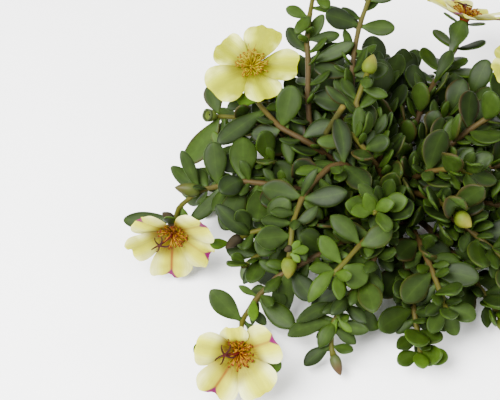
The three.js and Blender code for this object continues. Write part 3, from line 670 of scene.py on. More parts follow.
@dataclass(frozen=True)
class StemFinish:
    """Stem: brown and woody near the crown, olive to green toward its end, with fine streaks."""

    old: str = "241809"
    middle: str = "3a2e12"
    fresh: str = "3e3f0a"
    streak: str = "160d04"
    streak_share: float = 0.3
    streak_count: float = 14.0
    middle_band: tuple[float, float] = (0.25, 0.7)
    fresh_band: tuple[float, float] = (0.6, 0.95)
    mottle: tuple[float, float] = (300.0, 0.6)
    relief: tuple[float, float] = (0.35, 0.00015)

    def material(self, effects: Effects) -> bpy.types.Material:
        """Makes the stem material.

        Args:
            effects: the shared groups.

        Returns:
            The material.
        """
        material, graph, shader = new_material("stem_bark")
        along = graph.value("along")
        colour = graph.mix(graph.step(along, *self.middle_band), tone(self.old), tone(self.middle))
        colour = graph.wash(colour, self.fresh, graph.step(along, *self.fresh_band))
        streaks = effects.streaks_on(graph, self.streak_count)
        colour = graph.wash(colour, self.streak, streaks, self.streak_share)
        graph.feed(shader.inputs["Base Color"], effects.mottle_on(graph, colour, *self.mottle)[0])
        fix(shader, {"Roughness": 0.52, "Specular IOR Level": 0.12})
        add_relief(graph, shader, streaks, *self.relief)
        return material


@dataclass(frozen=True)
class PetalFinish:
    """Petal: a veined blade, brightest along its middle, with a deep throat and its own marks."""

    name: str
    blade: str
    edge: str
    glow: str
    throat: str
    middle_glow: float
    flush: str = "66200e"
    tip: str = "54033a"
    side_band: tuple[float, float] = (0.3, 1.0)
    foot_band: tuple[float, float] = (0.2, 0.6)
    throat_band: tuple[float, float] = (0.2, 0.62)
    glow_width: float = 0.3
    vein_share: float = 0.22
    vein_count: float = 16.0
    cloud_scale: float = 90.0
    line_width: float = 0.08
    line_share: float = 0.75
    halo_width: float = 0.3
    halo_share: float = 0.25
    flush_band: tuple[float, float] = (0.15, 0.45)
    wedge_slope: float = 0.62
    wedge_band: tuple[float, float] = (0.78, 0.84)
    tipped_band: tuple[float, float] = (0.2, 0.8)
    pleat_count: float = 22.0
    relief: tuple[float, float] = (0.35, 0.00012)

    def ground(self, graph: Graph, effects: Effects) -> Socket:
        """Colours the blade with its glow, throat and veins.

        Args:
            graph: the finish's graph.
            effects: the shared groups.

        Returns:
            The blade's colour.
        """
        along = graph.value("along")
        aside = graph.step(graph.calc("ABSOLUTE", graph.value("across")), *self.side_band)
        colour = graph.mix(aside, tone(self.blade), tone(self.edge))
        colour = graph.wash(colour, self.glow, effects.midline_on(graph, self.glow_width), self.middle_glow)
        colour = graph.wash(colour, self.glow, graph.fall(along, *self.foot_band))
        colour = graph.wash(colour, self.throat, graph.fall(along, *self.throat_band))
        colour = graph.wash(colour, self.glow, effects.streaks_on(graph, self.vein_count), self.vein_share)
        return graph.wash(colour, self.glow, effects.cloud_on(graph, self.cloud_scale), self.middle_glow)

    def marks(self, graph: Graph, effects: Effects, colour: Socket) -> Socket:
        """Adds the flush along the middle and the wedge at the notch.

        Args:
            graph: the finish's graph.
            effects: the shared groups.
            colour: the blade's colour.

        Returns:
            The marked colour.
        """
        along, across = graph.value("along"), graph.value("across")
        line = graph.times(effects.midline_on(graph, self.line_width), self.line_share)
        halo = graph.times(effects.midline_on(graph, self.halo_width), self.halo_share)
        flush = graph.times(graph.calc("ADD", line, halo), graph.step(along, *self.flush_band))
        colour = graph.wash(colour, self.flush, graph.times(flush, graph.value("flush")))
        aside = graph.times(graph.calc("ABSOLUTE", across), self.wedge_slope)
        wedge = graph.step(graph.calc("SUBTRACT", along, aside), *self.wedge_band)
        tipped = graph.step(graph.value("tipped"), *self.tipped_band)
        return graph.wash(colour, self.tip, graph.times(wedge, tipped))

    def material(self, effects: Effects) -> bpy.types.Material:
        """Makes the petal material.

        Args:
            effects: the shared groups.

        Returns:
            The material.
        """
        material, graph, shader = new_material(self.name)
        graph.feed(shader.inputs["Base Color"], self.marks(graph, effects, self.ground(graph, effects)))
        fix(shader, {"Roughness": 0.5, "Specular IOR Level": 0.1, "Subsurface Weight": 0.25})
        fix(shader, {"Subsurface Radius": (1.0, 0.85, 0.3), "Subsurface Scale": 0.001})
        add_relief(graph, shader, effects.streaks_on(graph, self.pleat_count), *self.relief)
        return material


@dataclass(frozen=True)
class RampFinish:
    """A finish that runs from one colour to another along a piece, such as a stamen or a bud."""

    name: str
    start: str
    end: str
    turn: float = 0.6
    rough: float = 0.5
    spread: float = 0.3
    streak_share: float = 0.25
    streak_count: float = 9.0
    mottle: tuple[float, float] = (500.0, 0.5)
    relief: tuple[float, float] = (0.2, 0.0001)

    def material(self, effects: Effects) -> bpy.types.Material:
        """Makes the material.

        Args:
            effects: the shared groups.

        Returns:
            The material.
        """
        material, graph, shader = new_material(self.name)
        ramp = graph.step(graph.value("along"), self.turn - self.spread, self.turn + self.spread)
        colour = graph.mix(ramp, tone(self.start), tone(self.end))
        streaks = effects.streaks_on(graph, self.streak_count)
        colour = graph.wash(colour, self.start, streaks, self.streak_share)
        mottled, height = effects.mottle_on(graph, colour, *self.mottle)
        graph.feed(shader.inputs["Base Color"], mottled)
        fix(shader, {"Roughness": self.rough, "Specular IOR Level": 0.12})
        add_relief(graph, shader, height, *self.relief)
        return material


@dataclass(frozen=True)
class BloomFinishes:
    """The materials of one colour of bloom."""

    petals: bpy.types.Material
    threads: bpy.types.Material
    anthers: bpy.types.Material
    style: bpy.types.Material


@dataclass
class Finishes:
    """Every material, made once."""

    effects: Effects = field(default_factory=Effects)

    def __post_init__(self) -> None:
        """Makes the materials."""
        self.leaf = LeafFinish().material(self.effects)
        self.stem = StemFinish().material(self.effects)
        self.buds = {
            BudKind.GREEN: self.ramp("bud_green", "44500e", "5e5a1c", 0.6, 0.6),
            BudKind.BROWN: self.ramp("bud_brown", "1c170a", "282010", 0.6, 0.8),
            BudKind.OLIVE: self.ramp("bud_olive", "343c14", "343012", 0.6),
            BudKind.RED: self.ramp("bud_red", "343c1c", "3e2c1a", 0.5),
        }
        # Painted shade: olive toward the foot, near black over the rim and the inner lip, the shade in the
        # open mouth.
        self.capsule = self.ramp("capsule_olive_shaded_mouth", "4c5a20", "0a0f08", 0.8, 0.65, 0.08)
        self.seed = self.ramp("seed_dark", "040302", "080604", 0.5, 0.35)
        self.crown = self.ramp("crown_bark", "241708", "38270f", 0.5, 0.8)
        self.stub = self.ramp("stub_tan", "2e2e0e", "5e501c", 1.0, 0.7)
        cream = self.petal("petal_cream", "b2b418", "ccce8c", "868400", "4a3200", 0.5)
        lemon = self.petal("petal_lemon", "9ca208", "c6ca74", "7c8000", "5a5600", 1.0)
        self.blooms = {
            Slot.CREAM: BloomFinishes(
                petals=cream,
                threads=self.ramp("stamen_gold", "5a2200", "8c6400", 0.5),
                anthers=self.ramp("anther_brown", "6a3002", "381804", 0.5, 0.7),
                style=self.ramp("style_maroon", "4a0c06", "1e0203", 0.4, 0.6),
            ),
            Slot.LEMON: BloomFinishes(
                petals=lemon,
                threads=self.ramp("stamen_yellow", "6e5400", "948600", 0.4),
                anthers=self.ramp("anther_gold", "745400", "5c3c00", 0.5, 0.7),
                style=self.ramp("style_olive", "5c4c04", "7c6c08", 0.4, 0.6),
            ),
        }

    def ramp(self, *values: str | float) -> bpy.types.Material:
        """Returns the material of a RampFinish with these values."""
        return RampFinish(*values).material(self.effects)

    def petal(self, *values: str | float) -> bpy.types.Material:
        """Returns the material of a PetalFinish with these values."""
        return PetalFinish(*values).material(self.effects)


# ---- Reading a leafy stem from its node ----


@dataclass
class LeafFrame:
    """One solid leaf's own points: where it is rooted, how it bends, how wide and how thick it is."""

    root: np.ndarray
    middles: tuple[np.ndarray, np.ndarray]
    halves: tuple[float, float]
    across: tuple[np.ndarray, np.ndarray]
    face: tuple[np.ndarray, np.ndarray]
    tip: np.ndarray
    thick: float
    youth: float | None = None

    @property
    def length(self) -> float:
        """How long the leaf is from root to tip."""
        return float(np.linalg.norm(self.tip - self.root))

    @property
    def is_bud(self) -> bool:
        """Whether it is a closed bud on the side of a stem."""
        return self.thick > BUD_THICKNESS * 2 * max(self.halves)


class NodeReader:
    """A node's welded points and their neighbours."""

    def __init__(self, node: str) -> None:
        """Reads the node's mesh at rest.

        Args:
            node: the node's name.
        """
        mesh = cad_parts[node].data
        flat = np.zeros(len(mesh.vertices) * 3, np.float32)
        mesh.vertices.foreach_get("co", flat)
        keys = np.round(flat.reshape(-1, 3).astype(float) / MM * WELD_STEPS).astype(np.int64)
        welded, place = np.unique(keys, axis=0, return_inverse=True)
        place = place.ravel()
        self.points = welded / WELD_STEPS
        self.near: list[set[int]] = [set() for _ in welded]
        for polygon in mesh.polygons:
            corners = [int(place[index]) for index in polygon.vertices]
            for a, b in zip(corners, corners[1:] + corners[:1]):
                self.near[a].add(b)
                self.near[b].add(a)

    def is_leaf_tip(self, point: int) -> bool:
        """Whether a point ends a leaf: four neighbours, of which two have four themselves."""
        near = self.near[point]
        return len(near) == 4 and sum(len(self.near[other]) == 4 for other in near) == 2

    def read_leaf(self, tip: int) -> tuple[LeafFrame, set[int]]:
        """Walks from a leaf's tip to its root.

        Args:
            tip: the tip's point.

        Returns:
            The leaf's frame and the points that are the leaf's alone.
        """
        outer = self.near[tip]
        edges = [p for p in outer if len(self.near[p]) == 4]
        mids = [p for p in outer if p not in edges]
        inner_edges = [next(q for q in self.near[p] if q != tip and q not in outer) for p in edges]
        passed = {tip, *outer, *inner_edges}
        inner_mids = [next(q for q in self.near[p] if q not in passed) for p in mids]
        inner = set(inner_edges + inner_mids)
        root = set().union(*(self.near[p] for p in inner)) - inner - outer
        at = self.points
        outer_middle, inner_middle = at[mids].mean(0), at[inner_mids].mean(0)
        if float((at[edges].mean(0) - outer_middle) @ (at[mids[0]] - at[mids[1]])) < 0:
            mids.reverse()
            inner_mids.reverse()
        leaf = LeafFrame(
            root=at[list(root)].mean(0),
            middles=(inner_middle, outer_middle),
            halves=tuple(float(np.linalg.norm(at[a] - at[b])) / 2 for a, b in (inner_edges, edges)),
            across=tuple(unit(at[a] - at[b]) for a, b in (inner_edges, edges)),
            face=tuple(unit(at[a] - at[b]) for a, b in (inner_mids, mids)),
            tip=at[tip],
            thick=float(np.linalg.norm(at[inner_mids[0]] - at[inner_mids[1]])),
        )
        return leaf, {tip} | outer | inner

    def read_stem(self, leafy: set[int]) -> tuple[np.ndarray, np.ndarray, int]:
        """Walks the stem's rings from its foot to its end.

        Args:
            leafy: the points that are leaves' alone.

        Returns:
            The rings' middles, their radii, and how many points the last ring has.
        """
        bare = [p for p in range(len(self.points)) if p not in leafy]
        away = np.linalg.norm(self.points[bare] - CROWN_MIDDLE, axis=1)
        ring = {bare[k] for k in np.argsort(away)[:4]}
        seen, middles, radii = set(leafy), [], []
        size = 4
        while ring:
            seen |= ring
            spots = self.points[list(ring)]
            middles.append(spots.mean(0))
            radii.append(float(np.linalg.norm(spots - spots.mean(0), axis=1).mean()) / RING_OVERSIZE)
            size = len(ring)
            ring = set().union(*(self.near[p] for p in ring)) - seen
        return np.array(middles), np.array(radii), size


# ---- Leaves ----


@dataclass(frozen=True)
class Cut:
    """One cross cut of a leaf: its place along, its middle, its directions and its half sizes."""

    along: float
    middle: np.ndarray
    side: np.ndarray
    face: np.ndarray
    half: float
    deep: float
    cup: float


@dataclass
class LeafMaker:
    """Makes fine leaves: a bent, plump, spoon-shaped blade with a rounded edge."""

    rows: int = 13
    columns: int = 16
    round_power: float = 0.52
    shoulder: float = 1.4
    stalk: float = 0.8
    plump: float = 1.15
    broad: float = 1.08
    cups: tuple[float, float] = (-0.04, 0.16)
    sways: tuple[float, float] = (-0.3, 0.3)
    full_from: float = 2.2
    thin_power: float = 0.6
    edge_power: float = 0.75
    tip_crowding: float = 1.15
    foot_depth: float = 0.5
    dome: float = 0.85
    groove: float = 0.1
    groove_width: float = 0.14

    def outline(self, t: float) -> float:
        """How wide the blade is at a distance along it, as a share of its widest."""
        return math.sin(math.pi * t**self.shoulder) ** self.round_power if 0 < t < 1 else 0.0

    def cut(self, leaf: LeafFrame, t: float, sway: float, cup: float) -> Cut:
        """Works out the cross cut at a distance along a leaf.

        Args:
            leaf: the leaf's frame.
            t: the distance along it, as a share.
            sway: how far its middle swings to a side, in millimetres.
            cup: how much its edges rise, as a share of the half width.

        Returns:
            The cut.
        """
        t0, t1 = BLADE_MARKS
        bend = (leaf.middles[0] - (1 - t0) ** 2 * leaf.root - t0 * t0 * leaf.tip) / (2 * t0 * (1 - t0))
        middle = bent_line(leaf.root, bend, leaf.tip, t)
        run = unit((1 - t) * (bend - leaf.root) + t * (leaf.tip - bend))
        share = min(max((t - t0) / (t1 - t0), 0.0), 1.0)
        side = square_to((1 - share) * leaf.across[0] + share * leaf.across[1], run)
        face = np.cross(side, run)
        if float(face @ leaf.face[0]) < 0:
            face = -face
        wide = self.broad * (leaf.halves[0] / BLADE_WIDTHS[0] + leaf.halves[1] / BLADE_WIDTHS[1]) / 2
        half = max(wide * self.outline(t), self.stalk * (1 - t) ** 2)
        deep = 0.5 * leaf.thick * self.plump * min(1.0, (half / self.full_from) ** self.thin_power)
        return Cut(t, middle + side * sway * math.sin(math.pi * t), side, face, half, deep, cup)

    def ring(self, skin: Skin, cut: Cut, **looks: float) -> list[int]:
        """Adds one ring across the blade, gently domed above and full below.

        Args:
            skin: where the ring goes.
            cut: the leaf's section there.
            **looks: the leaf's tint, youth and age.

        Returns:
            The points of the ring.
        """
        points, aside, below = [], [], []
        for k in range(self.columns):
            angle = 2 * math.pi * k / self.columns
            v, lift = math.cos(angle), math.sin(angle)
            height = math.copysign(abs(lift) ** self.edge_power, lift) * cut.deep
            if lift > 0:
                hollow = math.exp(-((v / self.groove_width) ** 2))
                height = self.dome * height - self.groove * cut.deep * hollow
            rise = height + cut.half * cut.cup * v * v
            points.append(cut.middle + cut.side * v * cut.half + cut.face * rise)
            aside.append(v)
            below.append(1.0 if lift < -0.05 else 0.0)
        turn = np.cross(points[1] - points[0], points[2] - points[1])
        if float(turn @ np.cross(cut.side, cut.face)) < 0:
            points.reverse()
            aside.reverse()
            below.reverse()
        return skin.add(points, along=cut.along, across=aside, under=below, **looks)

    def grow(self, skin: Skin, leaf: LeafFrame, draw: np.random.Generator, **looks: float) -> None:
        """Adds one leaf to a skin.

        Args:
            skin: where the leaf goes.
            leaf: the leaf's frame.
            draw: the seeded draws.
            **looks: the leaf's tint, youth and age, from 0 to 1.
        """
        sway, cup = draw.uniform(*self.sways), draw.uniform(*self.cups)
        turns = [math.pi / 2 * k / self.rows for k in range(1, self.rows)]
        stops = [0.0, *(math.sin(turn) ** self.tip_crowding for turn in turns)]
        rings = [self.ring(skin, self.cut(leaf, t, sway, cup), **looks) for t in stops]
        inward = unit(leaf.middles[0] - leaf.root) * self.foot_depth
        foot = skin.add([leaf.root - inward], along=0.0, **looks)
        tip = skin.add([leaf.tip], along=1.0, **looks)
        skin.loft(rings, foot[0], tip[0])


# A plain leaf's half width as a share of its length, its thickness, and what a front leaf faces.
PLAIN_HALF = 0.3
PLAIN_THICK = 1.3
FRONT_LIGHT = np.array([0, -0.64, 0.77])


def plain_leaf(
    root: np.ndarray, way: np.ndarray, out: np.ndarray, light: np.ndarray, length: float
) -> LeafFrame:
    """Lays out a leaf from its directions alone.

    Args:
        root: where it leaves the stem.
        way: the unit direction from its root to its tip.
        out: the unit direction that it bends toward first.
        light: the unit direction that its upper face turns to.
        length: how long it is.

    Returns:
        The leaf's frame.
    """
    tip = root + way * length
    bend = root + out * length * 0.2 + way * length * 0.3
    spots = [bent_line(root, bend, tip, t) for t in BLADE_MARKS]
    across = unit(np.cross(way, light))
    face = unit(np.cross(across, way))
    half = PLAIN_HALF * length
    halves = (half * BLADE_WIDTHS[0], half * BLADE_WIDTHS[1])
    return LeafFrame(root, (spots[0], spots[1]), halves, (across, across), (face, face), tip, PLAIN_THICK)


def front_leaf(root: tuple[float, ...], tip: tuple[float, ...], youth: float, wide: float) -> LeafFrame:
    """Lays out a straight leaf between two points, its face turned up and to the front.

    Args:
        root: where it starts.
        tip: where it ends.
        youth: how young it is, from 0 to 1.
        wide: its width as a share of its length.

    Returns:
        The leaf.
    """
    start, run = np.array(root), np.array(tip) - np.array(root)
    way = unit(run)
    leaf = plain_leaf(start, way, way, unit(FRONT_LIGHT), float(np.linalg.norm(run)))
    leaf.youth = youth
    leaf.halves = tuple(wide / (2 * PLAIN_HALF) * half for half in leaf.halves)
    return leaf


# ---- Round sweeps: stems, filaments, styles ----


def smooth_line(points: np.ndarray, step: float) -> tuple[np.ndarray, np.ndarray]:
    """Runs a smooth line through points.

    Args:
        points: the points to pass, one row each.
        step: the spacing wanted, in millimetres.

    Returns:
        The line's points, and each one's place in the row of given points.
    """
    padded = np.vstack([2 * points[0] - points[1], points, 2 * points[-1] - points[-2]])
    line, places = [], []
    for k in range(len(points) - 1):
        a, b, c, d = padded[k : k + 4]
        count = max(int(np.linalg.norm(c - b) / step), 1)
        for j in range(count):
            t = j / count
            bow, twist = 2 * a - 5 * b + 4 * c - d, 3 * b - a - 3 * c + d
            line.append(0.5 * (2 * b + (c - a) * t + bow * t**2 + twist * t**3))
            places.append(k + t)
    return np.array([*line, points[-1]]), np.array([*places, len(points) - 1.0])


def sweep(
    skin: Skin,
    line: np.ndarray,
    radii: np.ndarray,
    sides: int,
    start: float = 0.0,
    end: float = 1.0,
    **values: float,
) -> None:
    """Adds a closed round tube along a line.

    Args:
        skin: where the tube goes.
        line: the line's points.
        radii: the radius at each point.
        sides: how many sides the tube has.
        start: the along value at the line's first point.
        end: the along value at its last point.
        **values: other values for all of the tube.
    """
    runs = np.gradient(line, axis=0)
    side = any_side(unit(runs[0]))
    rings = []
    for k, (point, radius) in enumerate(zip(line, radii)):
        run = unit(runs[k])
        side = square_to(side, run)
        other = np.cross(run, side)
        angles = [2 * math.pi * j / sides for j in range(sides)]
        ring = [point + (side * math.cos(a) + other * math.sin(a)) * radius for a in angles]
        along = start + (end - start) * k / (len(line) - 1)
        rings.append(skin.add(ring, along=along, across=[math.cos(a) for a in angles], **values))
    foot = skin.add([line[0]], along=start, **values)
    tip = skin.add([line[-1] + unit(runs[-1]) * radii[-1] * 0.5], along=end, **values)
    skin.loft(rings, foot[0], tip[0])


def revolve(
    skin: Skin,
    base: np.ndarray,
    axis: np.ndarray,
    profile: list[tuple[float, float]],
    sides: int = 16,
    ridge: float = 0.0,
    ridges: int = 2,
    **values: float,
) -> None:
    """Adds a closed turned form.

    Args:
        skin: where the form goes.
        base: the point at distance zero.
        axis: the unit direction that distances run in.
        profile: pairs of distance and radius, from foot to tip.
        sides: how many sides it has.
        ridge: how much the radius swells on each ridge, as a share.
        ridges: how many ridges go round it.
        **values: values for all of it.
    """
    side = any_side(axis)
    other = np.cross(axis, side)
    reach = max(distance for distance, _ in profile)
    rings = []
    for distance, radius in profile:
        ring = []
        for j in range(sides):
            angle = 2 * math.pi * j / sides
            far = radius * (1 + ridge * math.cos(ridges * angle))
            ring.append(base + axis * distance + (side * math.cos(angle) + other * math.sin(angle)) * far)
        rings.append(skin.add(ring, along=distance / reach, **values))
    foot = skin.add([base + axis * profile[0][0]], along=0.0, **values)
    tip = skin.add([base + axis * profile[-1][0]], along=profile[-1][0] / reach, **values)
    skin.loft(rings, foot[0], tip[0])


# ---- Leafy stems ----

# Buds that aren't green, and the stem whose leaves are all worn.
BUD_KINDS = {
    "stem_dark_bud": BudKind.BROWN,
    "stem_front_bud": BudKind.RED,
    "stem_left_bloom": BudKind.OLIVE,
}
WORN_STEMS = ("stem_capsule",)

# Small leaves and bracts beside the modelled ones, as (root, tip, youth, width over length).
ADDED_LEAVES = {
    "stem_capsule": (
        ((-71.3, 12.1, 28.0), (-74.8, 18.8, 32.4), 0.5, 0.4),
        ((-72.7, 28.1, 34.0), (-75.7, 38.6, 41.0), 0.1, 0.6),
    ),
    "stem_dark_bud": (((-67.6, -34.3, 23.2), (-75.1, -37.0, 26.0), 0.5, 0.5),),
    "stem_front_bloom": (((-57.4, -58.4, 17.2), (-57.8, -69.8, 19.0), 0.7, 0.38),),
    "stem_front_bud": (
        ((-24.4, -66.4, 17.5), (-19.0, -72.3, 15.0), 0.6, 0.45),
        ((-24.8, -67.5, 16.8), (-29.1, -74.5, 12.0), 0.6, 0.45),
    ),
    "stem_green_bud": (
        ((-43.4, -49.4, 38.0), (-39.5, -46.5, 40.0), 0.55, 0.6),
        ((-42.2, -50.4, 38.0), (-36.0, -48.9, 38.0), 0.3, 0.6),
        ((-43.0, -50.6, 37.0), (-39.5, -53.8, 36.0), 0.6, 0.6),
    ),
    "stem_top_bloom": (
        ((-56.5, 27.5, 42.0), (-64.9, 27.3, 44.0), 0.9, 0.6),
        ((-36.3, 33.7, 38.0), (-43.5, 42.2, 41.0), 0.0, 0.6),
    ),
}

# Withered knobs, as (base, tip, radius).
ADDED_KNOBS = {
    "stem_green_bud": ((-43.0, -48.4, 38.2), (-45.6, -50.2, 38.6), 1.3),
    "stem_left_bloom": ((-90.8, -25.0, 27.0), (-94.6, -24.2, 30.4), 1.9),
}

# Stems with many young leaves, and those whose leaves are slim.
FRESH_STEMS = (
    "stem_front_bud", "stem_front_middle", "stem_front_rosette", "stem_green_bud", "stem_tall_green",
)
SLIM_STEMS = FRESH_STEMS + ("stem_front_bloom",)

# The capsule from its foot, over its rim and down inside, as shares of its depth with radii.
CAPSULE_PROFILE = (
    (0, 1.2),
    (0.22, 2.0),
    (0.5, 2.6),
    (0.85, 2.85),
    (0.97, 2.85),
    (1.03, 2.6),
    (1.0, 2.05),
    (0.6, 1.75),
    (0.35, 1.1),
)

# A seed from its foot to its top, as distances with radii.
SEED_PROFILE = [(0.05, 0.2), (0.2, 0.36), (0.45, 0.38), (0.7, 0.15)]


@dataclass
class LeafyStem:
    """One stem with its leaves and what ends it, read from its node."""

    node: str
    index: int
    sides: int = 10
    step: float = 1.6
    mouth_turn: tuple[float, float, float] = (-0.1, -0.34, 0.42)
    bud_radius: float = 1.9
    mouth_radius: float = 1.6
    fresh_share: float = 0.34
    fresh_shares: tuple[float, ...] = (0.05, 0.2, 0.5)
    end_reach: tuple[float, float] = (3.0, 17.0)
    small_lengths: tuple[float, float] = (8.0, 13.0)
    small_youth: float = 0.3
    crown_age: float = 1.25
    age_reach: float = 75.0
    age_spread: float = 0.35
    worn_age: float = 0.85
    # Painted shade: leaves near the crown get lower tints, so a darker green stands for the shade inside the
    # plant.
    inner_shade_tint: float = 0.4
    shade_tint_reach: tuple[float, float] = (40.0, 85.0)
    root_depth: float = 1.6
    root_swell: float = 1.15
    thickening: float = 1.04
    leaf_swell: float = 0.2
    leaf_swell_reach: float = 2.2
    bud_rows: int = 12
    bud_foot: float = 0.12
    bud_power: float = 0.75
    bud_span: float = 1.089
    bud_tip: float = 0.12
    dry_bud_swell: float = 0.92
    fresh_bud_swell: float = 1.3
    side_bud_swell: float = 1.25
    side_bud_length: float = 0.7
    seeds: int = 9
    seed_spacing: float = 0.45
    seed_middle: float = 0.35

    def __post_init__(self) -> None:
        """Reads the node."""
        reader = NodeReader(self.node)
        self.leaves: list[LeafFrame] = []
        leafy: set[int] = set()
        for point in range(len(reader.points)):
            if reader.is_leaf_tip(point):
                leaf, own = reader.read_leaf(point)
                self.leaves.append(leaf)
                leafy |= own
        self.middles, self.radii, last = reader.read_stem(leafy)
        self.leaves += [front_leaf(*spots) for spots in ADDED_LEAVES.get(self.node, ())]
        self.end = self.find_end(last)
        self.draw = np.random.default_rng(4100 + self.index)
        fresh = self.node in FRESH_STEMS
        self.fresh = self.fresh_share if fresh else self.draw.choice(self.fresh_shares)

    def find_end(self, last: int) -> StemEnd:
        """Tells what the stem ends in from its last rings.

        Args:
            last: how many points the last ring has.

        Returns:
            The kind of end.
        """
        if last == 1:
            return StemEnd.BUD if self.radii[-6:].max() > self.bud_radius else StemEnd.TIP
        return StemEnd.CAPSULE if self.radii[-1] < self.mouth_radius else StemEnd.BLOOM

    def looks_of(self, leaf: LeafFrame) -> dict[str, float]:
        """Sets a leaf's tint, youth and age: old near the crown and fresh near the stem's end, its tint kept
        low near the crown as painted shade.

        Args:
            leaf: the leaf.

        Returns:
            The three values by name.
        """
        away = float(np.linalg.norm(leaf.root - CROWN_MIDDLE))
        near_end = 1 - ease(*self.end_reach, float(np.linalg.norm(leaf.root - self.middles[-1])))
        small = 1 - ease(*self.small_lengths, leaf.length)
        young = max(near_end * self.fresh, self.small_youth * small) * self.draw.uniform(0.3, 1.0)
        spread = self.draw.uniform(-self.age_spread, self.age_spread)
        age = float(np.clip(self.crown_age - away / self.age_reach + spread, 0, 1))
        # Painted shade: the tint, and with it the green, falls toward the crown.
        outer = ease(*self.shade_tint_reach, away)
        tint = self.draw.uniform(0, 1) * (self.inner_shade_tint + (1 - self.inner_shade_tint) * outer)
        worn = max(age, self.worn_age) if self.node in WORN_STEMS else age
        return {"tint": tint, "young": young if leaf.youth is None else leaf.youth, "age": worn}

    def build_leaves(self, maker: LeafMaker, finishes: Finishes) -> None:
        """Makes all the leaves as one piece.

        Args:
            maker: what makes each leaf.
            finishes: the materials.
        """
        skin = Skin()
        for leaf in self.leaves:
            if not leaf.is_bud:
                maker.grow(skin, leaf, self.draw, **self.looks_of(leaf))
        settle(skin.piece(f"{self.node}_leaves", finishes.leaf), Slot.FOLIAGE, self.node)

    def stalk_rows(self) -> tuple[np.ndarray, np.ndarray]:
        """Finds what the round stalk runs along, without what ends it.

        Returns:
            The middles, and the radii.
        """
        drop = {StemEnd.BUD: 4, StemEnd.CAPSULE: 4, StemEnd.TIP: 1, StemEnd.BLOOM: 1}[self.end]
        middles, radii = self.middles[:-drop], self.radii[:-drop].copy()
        root = middles[0] - unit(middles[0] - CROWN_MIDDLE) * self.root_depth
        return np.vstack([root, middles]), np.concatenate([[radii[0] * self.root_swell], radii])

    def line(self) -> tuple[np.ndarray, np.ndarray]:
        """Draws the stalk's smooth line, a little swollen at each leaf.

        Returns:
            The line's points, and the radius at each one.
        """
        middles, radii = self.stalk_rows()
        line, places = smooth_line(middles, self.step)
        thick = np.interp(places, np.arange(len(radii)), radii)
        roots = [leaf.root for leaf in self.leaves]
        for k, point in enumerate(line):
            nearest = min((float(np.linalg.norm(point - root)) for root in roots), default=9.0)
            close = math.exp(-((nearest / self.leaf_swell_reach) ** 2))
            thick[k] *= self.thickening + self.leaf_swell * close
        return line, thick

    def build_stalk(self, finishes: Finishes) -> None:
        """Makes the round stalk.

        Args:
            finishes: the materials.
        """
        skin = Skin()
        line, thick = self.line()
        sweep(skin, line, thick, self.sides, tint=self.draw.uniform(0, 1))
        settle(skin.piece(f"{self.node}_stalk", finishes.stem), Slot.OLD_WOOD, self.node)

    def bud_profile(self, length: float, widest: float) -> list[tuple[float, float]]:
        """Draws a bud's outline: full below its middle, drawn to a soft point.

        Args:
            length: the bud's length.
            widest: its widest radius.

        Returns:
            Pairs of distance and radius, from foot to tip.
        """
        profile = []
        for k in range(self.bud_rows):
            part = (k / self.bud_rows + self.bud_foot) ** self.bud_power
            full = math.sin(math.pi * part / self.bud_span) ** self.bud_power
            profile.append((length * k / self.bud_rows, widest * full + self.bud_tip))
        return [*profile, (length, self.bud_tip)]

    def build_end(self, finishes: Finishes) -> None:
        """Makes the bud or the capsule that ends the stem, and any bud on its side.

        Args:
            finishes: the materials.
        """
        if self.end is StemEnd.BUD:
            base, tip = self.middles[-5], self.middles[-1]
            swell = self.dry_bud_swell if self.node in BUD_KINDS else self.fresh_bud_swell
            self.build_bud(finishes, "bud", base, tip, float(self.radii[-5:].max()) * swell)
        if self.end is StemEnd.CAPSULE:
            self.build_capsule(finishes)
        if self.node in ADDED_KNOBS:
            foot, top, radius = ADDED_KNOBS[self.node]
            self.build_bud(finishes, "knob", np.array(foot), np.array(top), radius)
        for place, leaf in enumerate(leaf for leaf in self.leaves if leaf.is_bud):
            tip = leaf.root + self.side_bud_length * (leaf.tip - leaf.root)
            widest = self.side_bud_swell * max(leaf.halves)
            self.build_bud(finishes, f"side_bud_{place}", leaf.root, tip, widest)

    def build_bud(
        self, finishes: Finishes, label: str, base: np.ndarray, tip: np.ndarray, widest: float
    ) -> None:
        """Makes a closed bud: two sepals folded round a pointed body.

        Args:
            finishes: the materials.
            label: what the piece's name ends in.
            base: where the bud starts.
            tip: where it ends.
            widest: its widest radius.
        """
        skin = Skin()
        axis = unit(tip - base)
        length = float(np.linalg.norm(tip - base))
        profile, tint = self.bud_profile(length, widest), self.draw.uniform(0, 1)
        revolve(skin, base, axis, profile, sides=18, ridge=0.07, tint=tint)
        kind = BudKind.BROWN if label == "knob" else BUD_KINDS.get(self.node, BudKind.GREEN)
        settle(skin.piece(f"{self.node}_{label}", finishes.buds[kind]), Slot.FOLIAGE, self.node)

    def build_capsule(self, finishes: Finishes) -> None:
        """Makes the open capsule, a cup with a rolled rim, and the seeds in it.

        Args:
            finishes: the materials.
        """
        base, mouth = self.middles[-5], self.middles[-2]
        axis = unit(unit(mouth - base) + np.array(self.mouth_turn))
        depth = float(np.linalg.norm(mouth - base))
        skin = Skin()
        profile = [(part * depth, radius) for part, radius in CAPSULE_PROFILE]
        # The capsule's finish paints the rim and inner lip near black as the shade in its mouth.
        revolve(skin, base, axis, profile, sides=24, ridge=0.03, ridges=5, tint=0.4)
        settle(skin.piece(f"{self.node}_capsule", finishes.capsule), Slot.OLD_WOOD, self.node)
        seeds = Skin()
        side = square_to(UP, axis)
        for k in range(self.seeds):
            aside = turn_about(side, axis, SCATTER_TURN * k) * self.seed_spacing * math.sqrt(k)
            spot = base + axis * depth * 0.5 + aside
            revolve(seeds, spot - axis * self.seed_middle, axis, SEED_PROFILE, sides=8)
        settle(seeds.piece(f"{self.node}_seeds", finishes.seed), Slot.OLD_WOOD, self.node)

